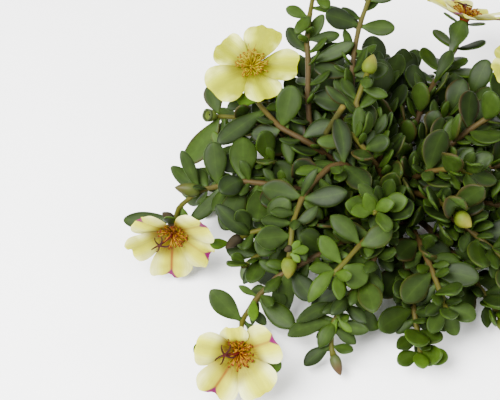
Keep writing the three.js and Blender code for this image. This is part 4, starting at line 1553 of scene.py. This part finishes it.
    def build(self, maker: LeafMaker, finishes: Finishes) -> None:
        """Makes every piece of the stem.

        Args:
            maker: what makes each leaf.
            finishes: the materials.
        """
        self.build_leaves(maker, finishes)
        self.build_stalk(finishes)
        self.build_end(finishes)


@dataclass
class Filler:
    """Small leaves on the stems between the full-grown ones, wherever one has room and cover, kept dark green
    as painted shade under the canopy.
    """

    spacing: float = 3.2
    lengths: tuple[float, float] = (7.5, 12.5)
    clear: float = 2.3
    cover: float = 17.0
    cover_count: int = 3
    cover_depth: float = 0.5
    floor_clear: float = 1.0
    leans: tuple[float, ...] = (0.5, 0.9, 0.2)
    lift: float = 0.15
    facing: float = 0.4
    root_share: float = 0.7
    # Painted shade: low tints and youths darken the small leaves, as the shade under the full-grown ones.
    shaded_tints: tuple[float, float] = (0.0, 0.55)
    youths: tuple[float, float] = (0.0, 0.12)
    age: float = 0.3
    taken_along: tuple[float, ...] = (0.3, 0.5, 0.7, 0.9)
    taken_across: tuple[float, ...] = (-0.65, 0.0, 0.65)
    capacity: int = 60000

    def __post_init__(self) -> None:
        """Starts with nothing taken."""
        self.spots = np.zeros((self.capacity, 3))
        self.count = 0
        self.tips = np.zeros((0, 3))
        self.draw = np.random.default_rng(77)
        self.maker = LeafMaker(rows=7, columns=10, plump=1.2, broad=0.86, round_power=0.66, shoulder=1.22)

    def take(self, spots: np.ndarray) -> None:
        """Marks places as taken."""
        self.spots[self.count : self.count + len(spots)] = spots
        self.count += len(spots)

    def take_leaf(self, leaf: LeafFrame) -> None:
        """Marks the places that a leaf fills."""
        cuts = [self.maker.cut(leaf, t, 0.0, 0.0) for t in self.taken_along]
        self.take(np.array([cut.middle + cut.side * cut.half * v for cut in cuts for v in self.taken_across]))

    def survey(self, stems: list[LeafyStem], blooms: tuple["Bloom", ...]) -> None:
        """Marks all that is there before any small leaf.

        Args:
            stems: every leafy stem.
            blooms: every bloom.
        """
        for stem in stems:
            self.take(stem.line()[0])
            for leaf in stem.leaves:
                self.take_leaf(leaf)
        for bloom in blooms:
            self.take(bloom.places())
        self.tips = np.array([leaf.tip for stem in stems for leaf in stem.leaves])
        self.blooms = blooms

    def has_room(self, leaf: LeafFrame) -> bool:
        """Tells if a leaf is clear of everything, with full-grown leaves farther out than it.

        Args:
            leaf: the leaf.

        Returns:
            Whether the leaf can be there.
        """
        probes = np.array([leaf.middles[0], leaf.middles[1], leaf.tip])
        if probes[:, 2].min() < self.floor_clear or any(bloom.faces(probes) for bloom in self.blooms):
            return False
        gaps = np.linalg.norm(self.spots[None, : self.count] - probes[:, None], axis=2)
        if gaps.min() < self.clear:
            return False
        ahead = self.tips - leaf.tip
        near = np.linalg.norm(ahead, axis=1) < self.cover
        over = ahead[near] @ unit(leaf.tip - CROWN_MIDDLE) > self.cover_depth
        return int(over.sum()) >= self.cover_count

    def try_leaf(self, point: np.ndarray, run: np.ndarray, thick: float, angle: float) -> LeafFrame | None:
        """Lays out a leaf round a stem.

        Args:
            point: where on the stem it is.
            run: the stem's unit direction there.
            thick: the stem's radius there.
            angle: how far round the stem it is, in radians.

        Returns:
            The leaf, or None where no lean of it has room.
        """
        side = any_side(run)
        out = turn_about(side, run, angle)
        for lean in self.leans:
            way = unit(out * math.cos(lean) + run * math.sin(lean) + UP * self.lift)
            light = square_to(unit(UP + self.facing * unit(point - CROWN_MIDDLE)), way)
            length = self.draw.uniform(*self.lengths)
            leaf = plain_leaf(point + out * thick * self.root_share, way, out, light, length)
            if self.has_room(leaf):
                return leaf
        return None

    def fill(self, stem: LeafyStem, finishes: Finishes) -> None:
        """Adds the small leaves of one stem as one piece.

        Args:
            stem: the stem.
            finishes: the materials.
        """
        skin = Skin()
        line, thick = stem.line()
        stride = max(int(self.spacing / stem.step), 1)
        for k in range(4, len(line) - 2, stride):
            run = unit(line[k + 1] - line[k - 1])
            start = SCATTER_TURN * k
            for angle in (start, start + math.pi * 2 / 3, start + math.pi * 4 / 3):
                leaf = self.try_leaf(line[k], run, float(thick[k]), angle)
                if leaf is not None:
                    self.take_leaf(leaf)
                    # Painted shade: each small leaf takes a low, dark tint.
                    tint, young = self.draw.uniform(*self.shaded_tints), self.draw.uniform(*self.youths)
                    self.maker.grow(skin, leaf, self.draw, tint=tint, young=young, age=self.age)
        if skin.faces:
            settle(skin.piece(f"{stem.node}_small_leaves", finishes.leaf), Slot.FOLIAGE, stem.node)


# ---- Blooms ----

# A petal's half width along it, as a share of its widest.
PETAL_MARKS = (0.0, 0.1, 0.26, 0.42, 0.58, 0.72, 0.86, 1.0)
PETAL_WIDTHS = (0.22, 0.36, 0.62, 0.85, 1.0, 1.05, 1.04, 1.0)

# The crease along a petal's middle: its depth, and its width as a share of the half width.
CREASE_DEPTH = 0.6
CREASE_WIDTH = 0.16

# The rim: how far out its notch and its lobes stand, how square they are, and the notch's own size.
RIM_BASE = 0.72
RIM_LOBE = 0.3
RIM_POWER = 3.6
NOTCH_DEPTH = 0.035
NOTCH_WIDTH = 0.24

# Turned forms of a bloom from foot to tip, as distances with radii.
CUSHION_PROFILE = [(-1.2, 1.8), (-0.4, 2.5), (0.5, 2.3), (1.1, 1.5), (1.6, 0.4)]
ANTHER_PROFILE = [(0, 0.12), (0.15, 0.34), (0.55, 0.38), (0.85, 0.14)]
RECEPTACLE_PROFILE = [(0, 1.0), (0.8, 2.1), (2.0, 2.7), (3.6, 2.6), (4.7, 1.9)]

# A style's height and how far it slants, where it leans over the petals and where it stands.
LEANING_STYLE = (4.6, 4.2)
STANDING_STYLE = (6.8, 3.0)


@dataclass(frozen=True)
class Petal:
    """One petal: its direction round the face in degrees, its size, and how strong its marks are."""

    degrees: float
    size: float
    flush: float = 0.0
    tipped: float = 0.0

    @property
    def angle(self) -> float:
        """The direction in radians."""
        return math.radians(self.degrees)


@dataclass(frozen=True)
class Wave:
    """How a petal leaves its even cup: ripple height, where the ripples start, and the rim's curl."""

    ripple: float
    phase: float
    curl: float

    def lift(self, t: float, v: float) -> float:
        """Sets the height at one place: ripples, curl and a crease along the middle.

        Args:
            t: the share along the petal.
            v: the share across it, from -1 to 1.

        Returns:
            The height.
        """
        ripples = math.sin(5.0 * v + self.phase) * t**3 + 0.5 * math.sin(11 * v - self.phase) * t**4
        crease = CREASE_DEPTH * math.exp(-((v / CREASE_WIDTH) ** 2)) * math.sin(math.pi * min(t * 1.1, 1))
        return self.ripple * ripples + self.curl * t**4 - crease


@dataclass
class Bloom:
    """One open bloom: petals round a hub, stamens, and a style with curled arms."""

    name: str
    at: tuple[float, float, float]
    face: tuple[float, float, float]
    petals: tuple[Petal, ...]
    reach: float
    width: float
    cup: float
    slot: Slot
    lean: tuple[float, float] | None = None
    tilt: tuple[float, float] = (0.05, 0.2)
    sepal: float = 20.0
    sepal_length: float = 9.0
    seed: int = 1
    hub: float = 2.2
    hub_height: float = 1.0
    rows: int = 22
    columns: int = 20
    stamens: int = 84
    style_arms: int = 5
    style_start: float = 0.35
    style_clearance: float = 0.62
    petal_start: float = 0.9
    petal_twist: float = 0.13
    petal_wave: float = 0.0105
    petal_depth: float = 0.3
    ripples: tuple[float, float] = (0.5, 0.95)
    curls: tuple[float, float] = (-1.3, 0.9)
    rim_wobble: float = 0.022
    clear_heights: tuple[float, float] = (-1.0, 26.0)
    clear_reach: float = 1.1
    thread_reach: tuple[float, float] = (4.2, 6.2)
    thread_curl: tuple[float, float] = (-0.25, 0.45)
    thread_radii: tuple[float, float] = (0.2, 0.13)
    style_radii: tuple[float, float] = (0.56, 0.46)
    arm_radii: tuple[float, float] = (0.43, 0.22)
    arm_lengths: tuple[float, float] = (3.8, 4.8)
    lemon_slim: float = 0.6

    def __post_init__(self) -> None:
        """Works out the bloom's own directions."""
        self.centre = np.array(self.at)
        self.out = unit(np.array(self.face))
        self.right = unit(np.cross(UP, self.out))
        self.up = np.cross(self.out, self.right)
        self.draw = np.random.default_rng(900 + self.seed)

    def point(self, angle: float, far: float, high: float) -> np.ndarray:
        """A point at an angle round the face, so far out and so high above the hub's back."""
        away = self.right * math.cos(angle) + self.up * math.sin(angle)
        return self.centre + away * far + self.out * high

    def rise(self, far: float, reach: float) -> float:
        """How high a petal stands so far from the middle."""
        part = far / reach
        return self.hub_height / 2 + reach * self.cup * (1.35 * part - 0.35 * part**3) * 0.9

    def petal_half(self, petal: Petal, t: float) -> float:
        """Half of a petal's width along it."""
        return self.reach * petal.size * self.width * float(np.interp(t, PETAL_MARKS, PETAL_WIDTHS))

    def petal_point(self, petal: Petal, t: float, aside: float, lift: float) -> np.ndarray:
        """Finds a point on a petal: along it, across it and out of its face.

        Args:
            petal: the petal.
            t: the share along it.
            aside: the distance from its middle.
            lift: the height over its face.

        Returns:
            The point.
        """
        reach = self.reach * petal.size
        start = self.hub * self.petal_start
        far = start + (reach - start) * t
        twist, wave = -self.petal_twist * aside, self.petal_wave * abs(aside) * far
        across = self.point(petal.angle + math.pi / 2, 1, 0) - self.centre
        return self.point(petal.angle, far, self.rise(far, reach) + twist + wave + lift) + across * aside

    def rim(self, v: float) -> float:
        """Where the rim is, at a distance across: two broad lobes with a shallow notch between."""
        lobes = RIM_LOBE * math.sqrt(max(1 - abs(v) ** RIM_POWER, 0.0))
        return RIM_BASE + lobes - NOTCH_DEPTH * math.exp(-((v / NOTCH_WIDTH) ** 2))

    def places(self) -> np.ndarray:
        """Spreads points over the petals, for keeping other leaves clear of them.

        Returns:
            The points, one a row.
        """
        return np.array(
            [
                self.petal_point(petal, t, v * self.petal_half(petal, t), 0.0)
                for petal in self.petals
                for t in np.linspace(0.1, 1.0, 8)
                for v in (-0.85, -0.42, 0.0, 0.42, 0.85)
            ]
        )

    def faces(self, points: np.ndarray) -> bool:
        """Tells if any point stands in front of the bloom's open face.

        Args:
            points: the points, one a row.

        Returns:
            Whether any point does.
        """
        away = points - self.centre
        high = away @ self.out
        flat = np.linalg.norm(away - np.outer(high, self.out), axis=1)
        low, top = self.clear_heights
        return bool(((high > low) & (high < top) & (flat < self.reach * self.clear_reach)).any())

    def build_petals(self, finishes: Finishes) -> None:
        """Makes the petals as closed thin blades with ripples toward the rim.

        Args:
            finishes: the materials.
        """
        skin = Skin()
        for petal in self.petals:
            ripple, phase = self.draw.uniform(*self.ripples), self.draw.uniform(0, 6.28)
            wave = Wave(ripple, phase, curl=self.draw.uniform(*self.curls))
            tint = self.draw.uniform(0, 1)
            sheets = [self.petal_sheet(skin, petal, side, wave, tint) for side in (1.0, -1.0)]
            self.stitch(skin, *sheets)
        blades = skin.piece(f"{self.name}_petal_blades", finishes.blooms[self.slot].petals)
        settle(blades, self.slot, f"{self.name}_petals")

    def petal_sheet(
        self, skin: Skin, petal: Petal, side: float, wave: Wave, tint: float
    ) -> list[list[int]]:
        """Adds one face of a petal.

        Args:
            skin: where the face goes.
            petal: the petal.
            side: 1 for the upper face and -1 for the lower.
            wave: how the blade ripples and curls.
            tint: the petal's own shade, from 0 to 1.

        Returns:
            The face's points, row by row.
        """
        sheet = []
        across = [math.sin((2 * k / self.columns - 1) * math.pi / 2) for k in range(self.columns + 1)]
        for row in range(self.rows + 1):
            share = row / self.rows
            wobbles = [self.rim_wobble * math.sin(3.7 * v + wave.phase) for v in across]
            along = [share * (self.rim(v) + wobble) for v, wobble in zip(across, wobbles)]
            lifts = [wave.lift(t, v) + side * self.half_depth(share, v) for t, v in zip(along, across)]
            points = [
                self.petal_point(petal, t, self.petal_half(petal, t) * v, lift)
                for t, v, lift in zip(along, across, lifts)
            ]
            looks = {"tint": tint, "flush": petal.flush, "tipped": petal.tipped}
            sheet.append(skin.add(points, along=along, across=across, **looks))
        return sheet

    def half_depth(self, share: float, v: float) -> float:
        """Half of the blade's thickness, thinning to a rounded border."""
        return self.petal_depth * math.sqrt(max(1 - v * v, 0.0)) * math.sqrt(max(1 - share**6, 0.0))

    def stitch(self, skin: Skin, top: list[list[int]], low: list[list[int]]) -> None:
        """Skins both faces of a petal and closes its border.

        Args:
            skin: where the petal goes.
            top: the upper face's points, row by row.
            low: the lower face's points, row by row.
        """
        for row in range(self.rows):
            for k in range(self.columns):
                skin.faces.append((top[row][k], top[row + 1][k], top[row + 1][k + 1], top[row][k + 1]))
                skin.faces.append((low[row][k], low[row][k + 1], low[row + 1][k + 1], low[row + 1][k]))
        border = [(r, 0) for r in range(self.rows)]
        border += [(self.rows, k) for k in range(self.columns)]
        border += [(r, self.columns) for r in range(self.rows, 0, -1)]
        border += [(0, k) for k in range(self.columns, 0, -1)]
        for (ra, ka), (rb, kb) in zip(border, border[1:] + border[:1]):
            skin.faces.append((top[ra][ka], low[ra][ka], low[rb][kb], top[rb][kb]))

    def leans_away(self, angle: float) -> bool:
        """Tells if a stamen stands clear of the leaning style.

        Args:
            angle: where round the bloom the stamen is, in radians.

        Returns:
            Whether the stamen can stand there.
        """
        if self.lean is None:
            return True
        return math.cos(angle - math.atan2(self.lean[1], self.lean[0])) < self.style_clearance

    def build_stamens(self, finishes: Finishes) -> None:
        """Makes the tuft of curved filaments and their anthers.

        Args:
            finishes: the materials.
        """
        threads, heads = Skin(), Skin()
        base = self.point(0, 0, self.hub_height - 0.2)
        revolve(threads, base, self.out, CUSHION_PROFILE)
        for k in range(self.stamens):
            angle = GOLDEN_TURN * k
            if k > 6 and not self.leans_away(angle):
                continue
            line = self.thread_line(angle, math.sqrt(k / self.stamens))
            radii = np.linspace(*self.thread_radii, len(line))
            sweep(threads, line, radii, 6, tint=self.draw.uniform(0, 1))
            axis = unit(line[-1] - line[-2] + self.right * self.draw.uniform(-0.4, 0.4))
            revolve(heads, line[-1] - axis * 0.35, axis, ANTHER_PROFILE, sides=8)
        looks, node = finishes.blooms[self.slot], f"{self.name}_stamens"
        settle(threads.piece(f"{self.name}_threads", looks.threads), Slot.STAMEN, node)
        settle(heads.piece(f"{self.name}_anthers", looks.anthers), Slot.STAMEN, node)

    def thread_line(self, angle: float, outer: float) -> np.ndarray:
        """Draws a filament's curved line, from an upright one in the middle to a splayed one outside.

        Args:
            angle: where round the bloom it is, in radians.
            outer: how far out it stands, from 0 in the middle to 1.

        Returns:
            The line's points.
        """
        lean = 0.1 + 0.85 * outer + self.draw.uniform(-0.08, 0.08)
        reach, curl = self.draw.uniform(*self.thread_reach), self.draw.uniform(*self.thread_curl)
        start, foot = 0.3 + 1.4 * outer, self.hub_height + 0.6
        return np.array(
            [
                self.point(
                    angle + curl * s * s,
                    start + math.sin(lean + 0.25 * s * s) * reach * s,
                    foot + math.cos(lean + 0.25 * s * s) * reach * s,
                )
                for s in np.linspace(0, 1, 7)
            ]
        )

    def build_style(self, finishes: Finishes) -> None:
        """Makes the style and its five curled arms.

        Args:
            finishes: the materials.
        """
        skin = Skin()
        lean = self.lean or self.tilt
        height, slant = LEANING_STYLE if self.lean else STANDING_STYLE
        foot = self.hub_height + 1.5
        shift = self.right * lean[0] * slant + self.up * lean[1] * slant
        shares = np.linspace(0, 0.96, 8)
        stalk = np.array([self.point(0, 0, foot + height * s) + shift * s**1.4 for s in shares])
        slim = self.lemon_slim if self.slot is Slot.LEMON else 1.0
        sweep(skin, stalk, np.linspace(*self.style_radii, len(stalk)) * slim, 8, 0.0, 0.5)
        for k in range(self.style_arms):
            turn = 2 * math.pi * (k + 0.5) / self.style_arms
            arm = self.arm_line(stalk[-1], self.style_start + turn + self.draw.uniform(-0.15, 0.15))
            sweep(skin, arm, np.linspace(*self.arm_radii, len(arm)) * slim, 6, 0.5, 1.0)
        pistil = skin.piece(f"{self.name}_pistil", finishes.blooms[self.slot].style)
        settle(pistil, Slot.STYLE, f"{self.name}_style")

    def arm_line(self, start: np.ndarray, angle: float) -> np.ndarray:
        """Draws a style arm's line, curling out and back from the top of the style.

        Args:
            start: the top of the style.
            angle: which way it curls out, in radians.

        Returns:
            The line's points.
        """
        way = self.right * math.cos(angle) + self.up * math.sin(angle)
        aside = self.up * math.cos(angle) - self.right * math.sin(angle)
        long = self.draw.uniform(*self.arm_lengths)
        swing = 1.5 if math.sin(2.5 * angle) > 0 else -1.1
        return np.array(
            [
                start
                + way * long * math.sin(s * 1.35) / 0.98
                + aside * swing * s * s
                + self.out * (1.5 * s - 1.7 * s * s)
                for s in np.linspace(0, 1, 9)
            ]
        )

    def build_back(self, finishes: Finishes) -> None:
        """Makes the swollen receptacle and the two sepals that hold the petals from behind.

        Args:
            finishes: the materials.
        """
        skin = Skin()
        base = self.centre - self.out * 4.6
        revolve(skin, base, self.out, RECEPTACLE_PROFILE, sides=18, tint=0.5)
        receptacle = skin.piece(f"{self.name}_receptacle", finishes.buds[BudKind.BROWN])
        settle(receptacle, Slot.FOLIAGE, f"{self.name}_petals")
        sepals = Skin()
        maker = LeafMaker(rows=9, columns=12, plump=0.8, cups=(0.1, 0.2))
        for k in range(2):
            angle = math.radians(self.sepal) + math.pi * k
            flat = self.point(angle, 1, 0) - self.centre
            way = unit(flat + self.out * self.cup * 1.05)
            root = self.centre - self.out * 1.7 + flat * 1.4
            leaf = plain_leaf(root, way, flat, square_to(self.out, way), self.sepal_length)
            maker.grow(sepals, leaf, self.draw, tint=0.8, young=0.2, age=0.0)
        settle(sepals.piece(f"{self.name}_sepals", finishes.leaf), Slot.FOLIAGE, f"{self.name}_petals")

    def build(self, finishes: Finishes) -> None:
        """Makes every piece of the bloom.

        Args:
            finishes: the materials.
        """
        self.build_petals(finishes)
        self.build_stamens(finishes)
        self.build_style(finishes)
        self.build_back(finishes)


BLOOMS = (
    Bloom(
        "bloom_top", (-58.1, 39.2, 50), (-0.06, -0.24, 0.97),
        (Petal(11, 1.03), Petal(84, 1.01), Petal(156, 0.91), Petal(231, 1.09), Petal(305, 0.94)),
        19, 0.43, 0.1, Slot.LEMON, tilt=(-0.2, 0.85), sepal=268, seed=1,
    ),
    Bloom(
        "bloom_left", (-90.4, -28, 24), (-0.09, -0.99, 0.06),
        (
            Petal(43, 1.04, 0.3, 1.0), Petal(139, 0.92, 0.15, 0.9), Petal(199, 0.97),
            Petal(269, 1.07, 0.9, 1.0), Petal(335, 0.95, 0.35, 1.0),
        ),
        18.6, 0.42, 0.4, Slot.CREAM, lean=(-1.2, -0.6), sepal=100, seed=2,
    ),
    Bloom(
        "bloom_front", (-63, -84, 20), (-0.12, -0.86, 0.5),
        (
            Petal(37, 1.04, 0.6, 1.0), Petal(103, 0.7), Petal(167, 0.97),
            Petal(240, 1.06, 0.8, 1.0), Petal(314, 1.02),
        ),
        16.8, 0.47, 0.52, Slot.CREAM, lean=(-1.25, 0.15), sepal=354, sepal_length=18.0, seed=3,
    ),
    Bloom(
        "bloom_right", (80, -30, 34), (0.6, -0.35, 0.72),
        (
            Petal(62, 1, 0.6, 1.0), Petal(137, 0.95), Petal(206, 1.04, 0.8, 1.0),
            Petal(280, 1, 0.4, 0.9), Petal(351, 0.97),
        ),
        18.5, 0.43, 0.35, Slot.CREAM, seed=4,
    ),
    Bloom(
        "bloom_back", (38, 84, 36), (0.25, 0.5, 0.83),
        (
            Petal(20, 1.03), Petal(90, 0.96, 0.7, 1.0), Petal(163, 1, 0.5, 0.9),
            Petal(238, 0.94), Petal(308, 1.02, 0.6, 1.0),
        ),
        18.5, 0.43, 0.3, Slot.CREAM, lean=(0.5, 0.6), seed=5,
    ),
    Bloom(
        "bloom_far_right", (56, 22, 58), (0.3, 0.15, 0.94),
        (Petal(4, 1.02), Petal(78, 0.97), Petal(151, 1.04), Petal(220, 0.9), Petal(292, 1)),
        19, 0.43, 0.2, Slot.LEMON, seed=6,
    ),
)


# ---- Cut stub ----


@dataclass
class Stub:
    """The short cut end of an older stem, standing among the leaves with its pale cut face."""

    foot: tuple[float, float, float] = (-27.5, 8.6, 42.0)
    middle: tuple[float, float, float] = (-24.3, 8.5, 50.5)
    end: tuple[float, float, float] = (-21.2, 8.4, 58.5)
    radius: float = 1.25

    def build(self, finishes: Finishes) -> None:
        """Makes the stub with a rounded cut edge.

        Args:
            finishes: the materials.
        """
        skin = Skin()
        line, places = smooth_line(np.array([self.foot, self.middle, self.end]), 1.0)
        sweep(skin, line, np.full(len(places), self.radius), 12, tint=0.3)
        settle(skin.piece("cut_stub", finishes.stub), Slot.OLD_WOOD, "stem_middle")


# ---- Crown ----


@dataclass
class Crown:
    """The woody crown, knobbly where stems leave it and flat where it was cut."""

    radius: float = 12.0
    middle: float = 2.0
    sides: int = 56
    tiers: int = 26
    knobs: tuple[float, float] = (0.35, 0.2)
    inset: float = 0.35
    top_inset: float = 0.2

    def build(self, finishes: Finishes) -> None:
        """Makes the crown over its node.

        Args:
            finishes: the materials.
        """
        skin = Skin()
        start = math.asin(-self.middle / self.radius)
        rings = []
        for tier in range(self.tiers):
            angle = start + (math.pi / 2 - start) * tier / self.tiers
            ring, across = [], []
            for k in range(self.sides):
                turn = 2 * math.pi * k / self.sides
                knob = self.knobs[0] * math.sin(5 * turn + 2 * tier) * math.cos(angle)
                knob += self.knobs[1] * math.sin(11 * turn - tier * 0.7)
                far = (self.radius - self.inset + (knob if tier else 0.0)) * math.cos(angle)
                high = self.middle + (self.radius - self.top_inset) * math.sin(angle)
                ring.append(np.array([far * math.cos(turn), far * math.sin(turn), max(high, 0.0)]))
                across.append(math.sin(turn * 3))
            rings.append(skin.add(ring, along=tier / self.tiers, across=across, tint=0.3))
        foot = skin.add([np.array([0.0, 0.0, 0.0])], along=0.0)
        tip = skin.add([np.array([0.0, 0.0, self.middle + self.radius - self.top_inset])], along=1.0)
        skin.loft(rings, foot[0], tip[0])
        settle(skin.piece("crown_wood", finishes.crown), Slot.OLD_WOOD, "crown")


# ---- Studio ----


@dataclass
class Studio:
    """Pale floor, soft lights and the camera."""

    camera_at: tuple[float, float, float] = (-59.0, -382.96, 465.86)
    elevation: float = 50.0
    lens: float = 100.0
    floor_half: float = 1600.0

    def build_floor(self) -> None:
        """Makes the floor just under the plant."""
        skin = Skin()
        half, low = self.floor_half, -0.3
        corners = [(-half, -half), (half, -half), (half, half), (-half, half)]
        skin.faces.append(tuple(skin.add([np.array([x, y, low]) for x, y in corners])))
        material, graph, shader = new_material("floor_white")
        grain = graph.noise(graph.place(), 40.0)
        graph.feed(shader.inputs["Base Color"], graph.mix(grain, tone("fbfbfa"), tone("ffffff")))
        fix(shader, {"Roughness": 0.9})
        skin.piece("studio_floor", material)

    def add_light(self, name: str, at: tuple[float, float, float], size: float, power: float) -> None:
        """Adds a square light that looks at the plant's middle.

        Args:
            name: its name.
            at: where it is.
            size: its side.
            power: its power in watts.
        """
        data = bpy.data.lights.new(name, "AREA")
        data.size, data.energy = size * MM, power
        light = bpy.data.objects.new(name, data)
        light.location = Vector(at) * MM
        light.rotation_euler = (Vector((0, 0, 20)) * MM - light.location).to_track_quat("-Z", "Y").to_euler()
        bpy.context.scene.collection.objects.link(light)

    def build_lights(self) -> None:
        """Lights the plant softly from above and from the front left."""
        self.add_light("key_light", (-420, -300, 700), 520, 36.0)
        self.add_light("fill_light", (500, -350, 520), 700, 8.0)
        self.add_light("side_light", (520, 520, 420), 500, 5.0)
        world = bpy.data.worlds.new("studio_world")
        world.use_nodes = True
        background = world.node_tree.nodes["Background"]
        background.inputs[0].default_value = (1, 1, 1, 1)
        background.inputs[1].default_value = 0.8
        bpy.context.scene.world = world

    def build_camera(self) -> None:
        """Places the camera high in front."""
        data = bpy.data.cameras.new("camera")
        data.lens, data.sensor_width = self.lens, 36.0
        camera = bpy.data.objects.new("camera", data)
        camera.location = Vector(self.camera_at) * MM
        camera.rotation_euler = (math.radians(90 - self.elevation), 0, 0)
        bpy.context.scene.collection.objects.link(camera)
        bpy.context.scene.camera = camera

    def build(self) -> None:
        """Makes the floor, lights and camera."""
        self.build_floor()
        self.build_lights()
        self.build_camera()


def main() -> None:
    """Builds every piece in order."""
    logging.basicConfig(level=logging.INFO, format="%(message)s")
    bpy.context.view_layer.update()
    Studio().build()
    finishes = Finishes()
    Crown().build(finishes)
    maker, slim = LeafMaker(), LeafMaker(round_power=0.64, shoulder=1.3, broad=1.0)
    names = sorted(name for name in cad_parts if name.startswith("stem_"))
    stems = [LeafyStem(name, index) for index, name in enumerate(names)]
    filler = Filler()
    filler.survey(stems, BLOOMS)
    for stem in stems:
        stem.build(slim if stem.node in SLIM_STEMS else maker, finishes)
        filler.fill(stem, finishes)
    Stub().build(finishes)
    for bloom in BLOOMS:
        bloom.build(finishes)


if __name__ == "__main__":
    main()
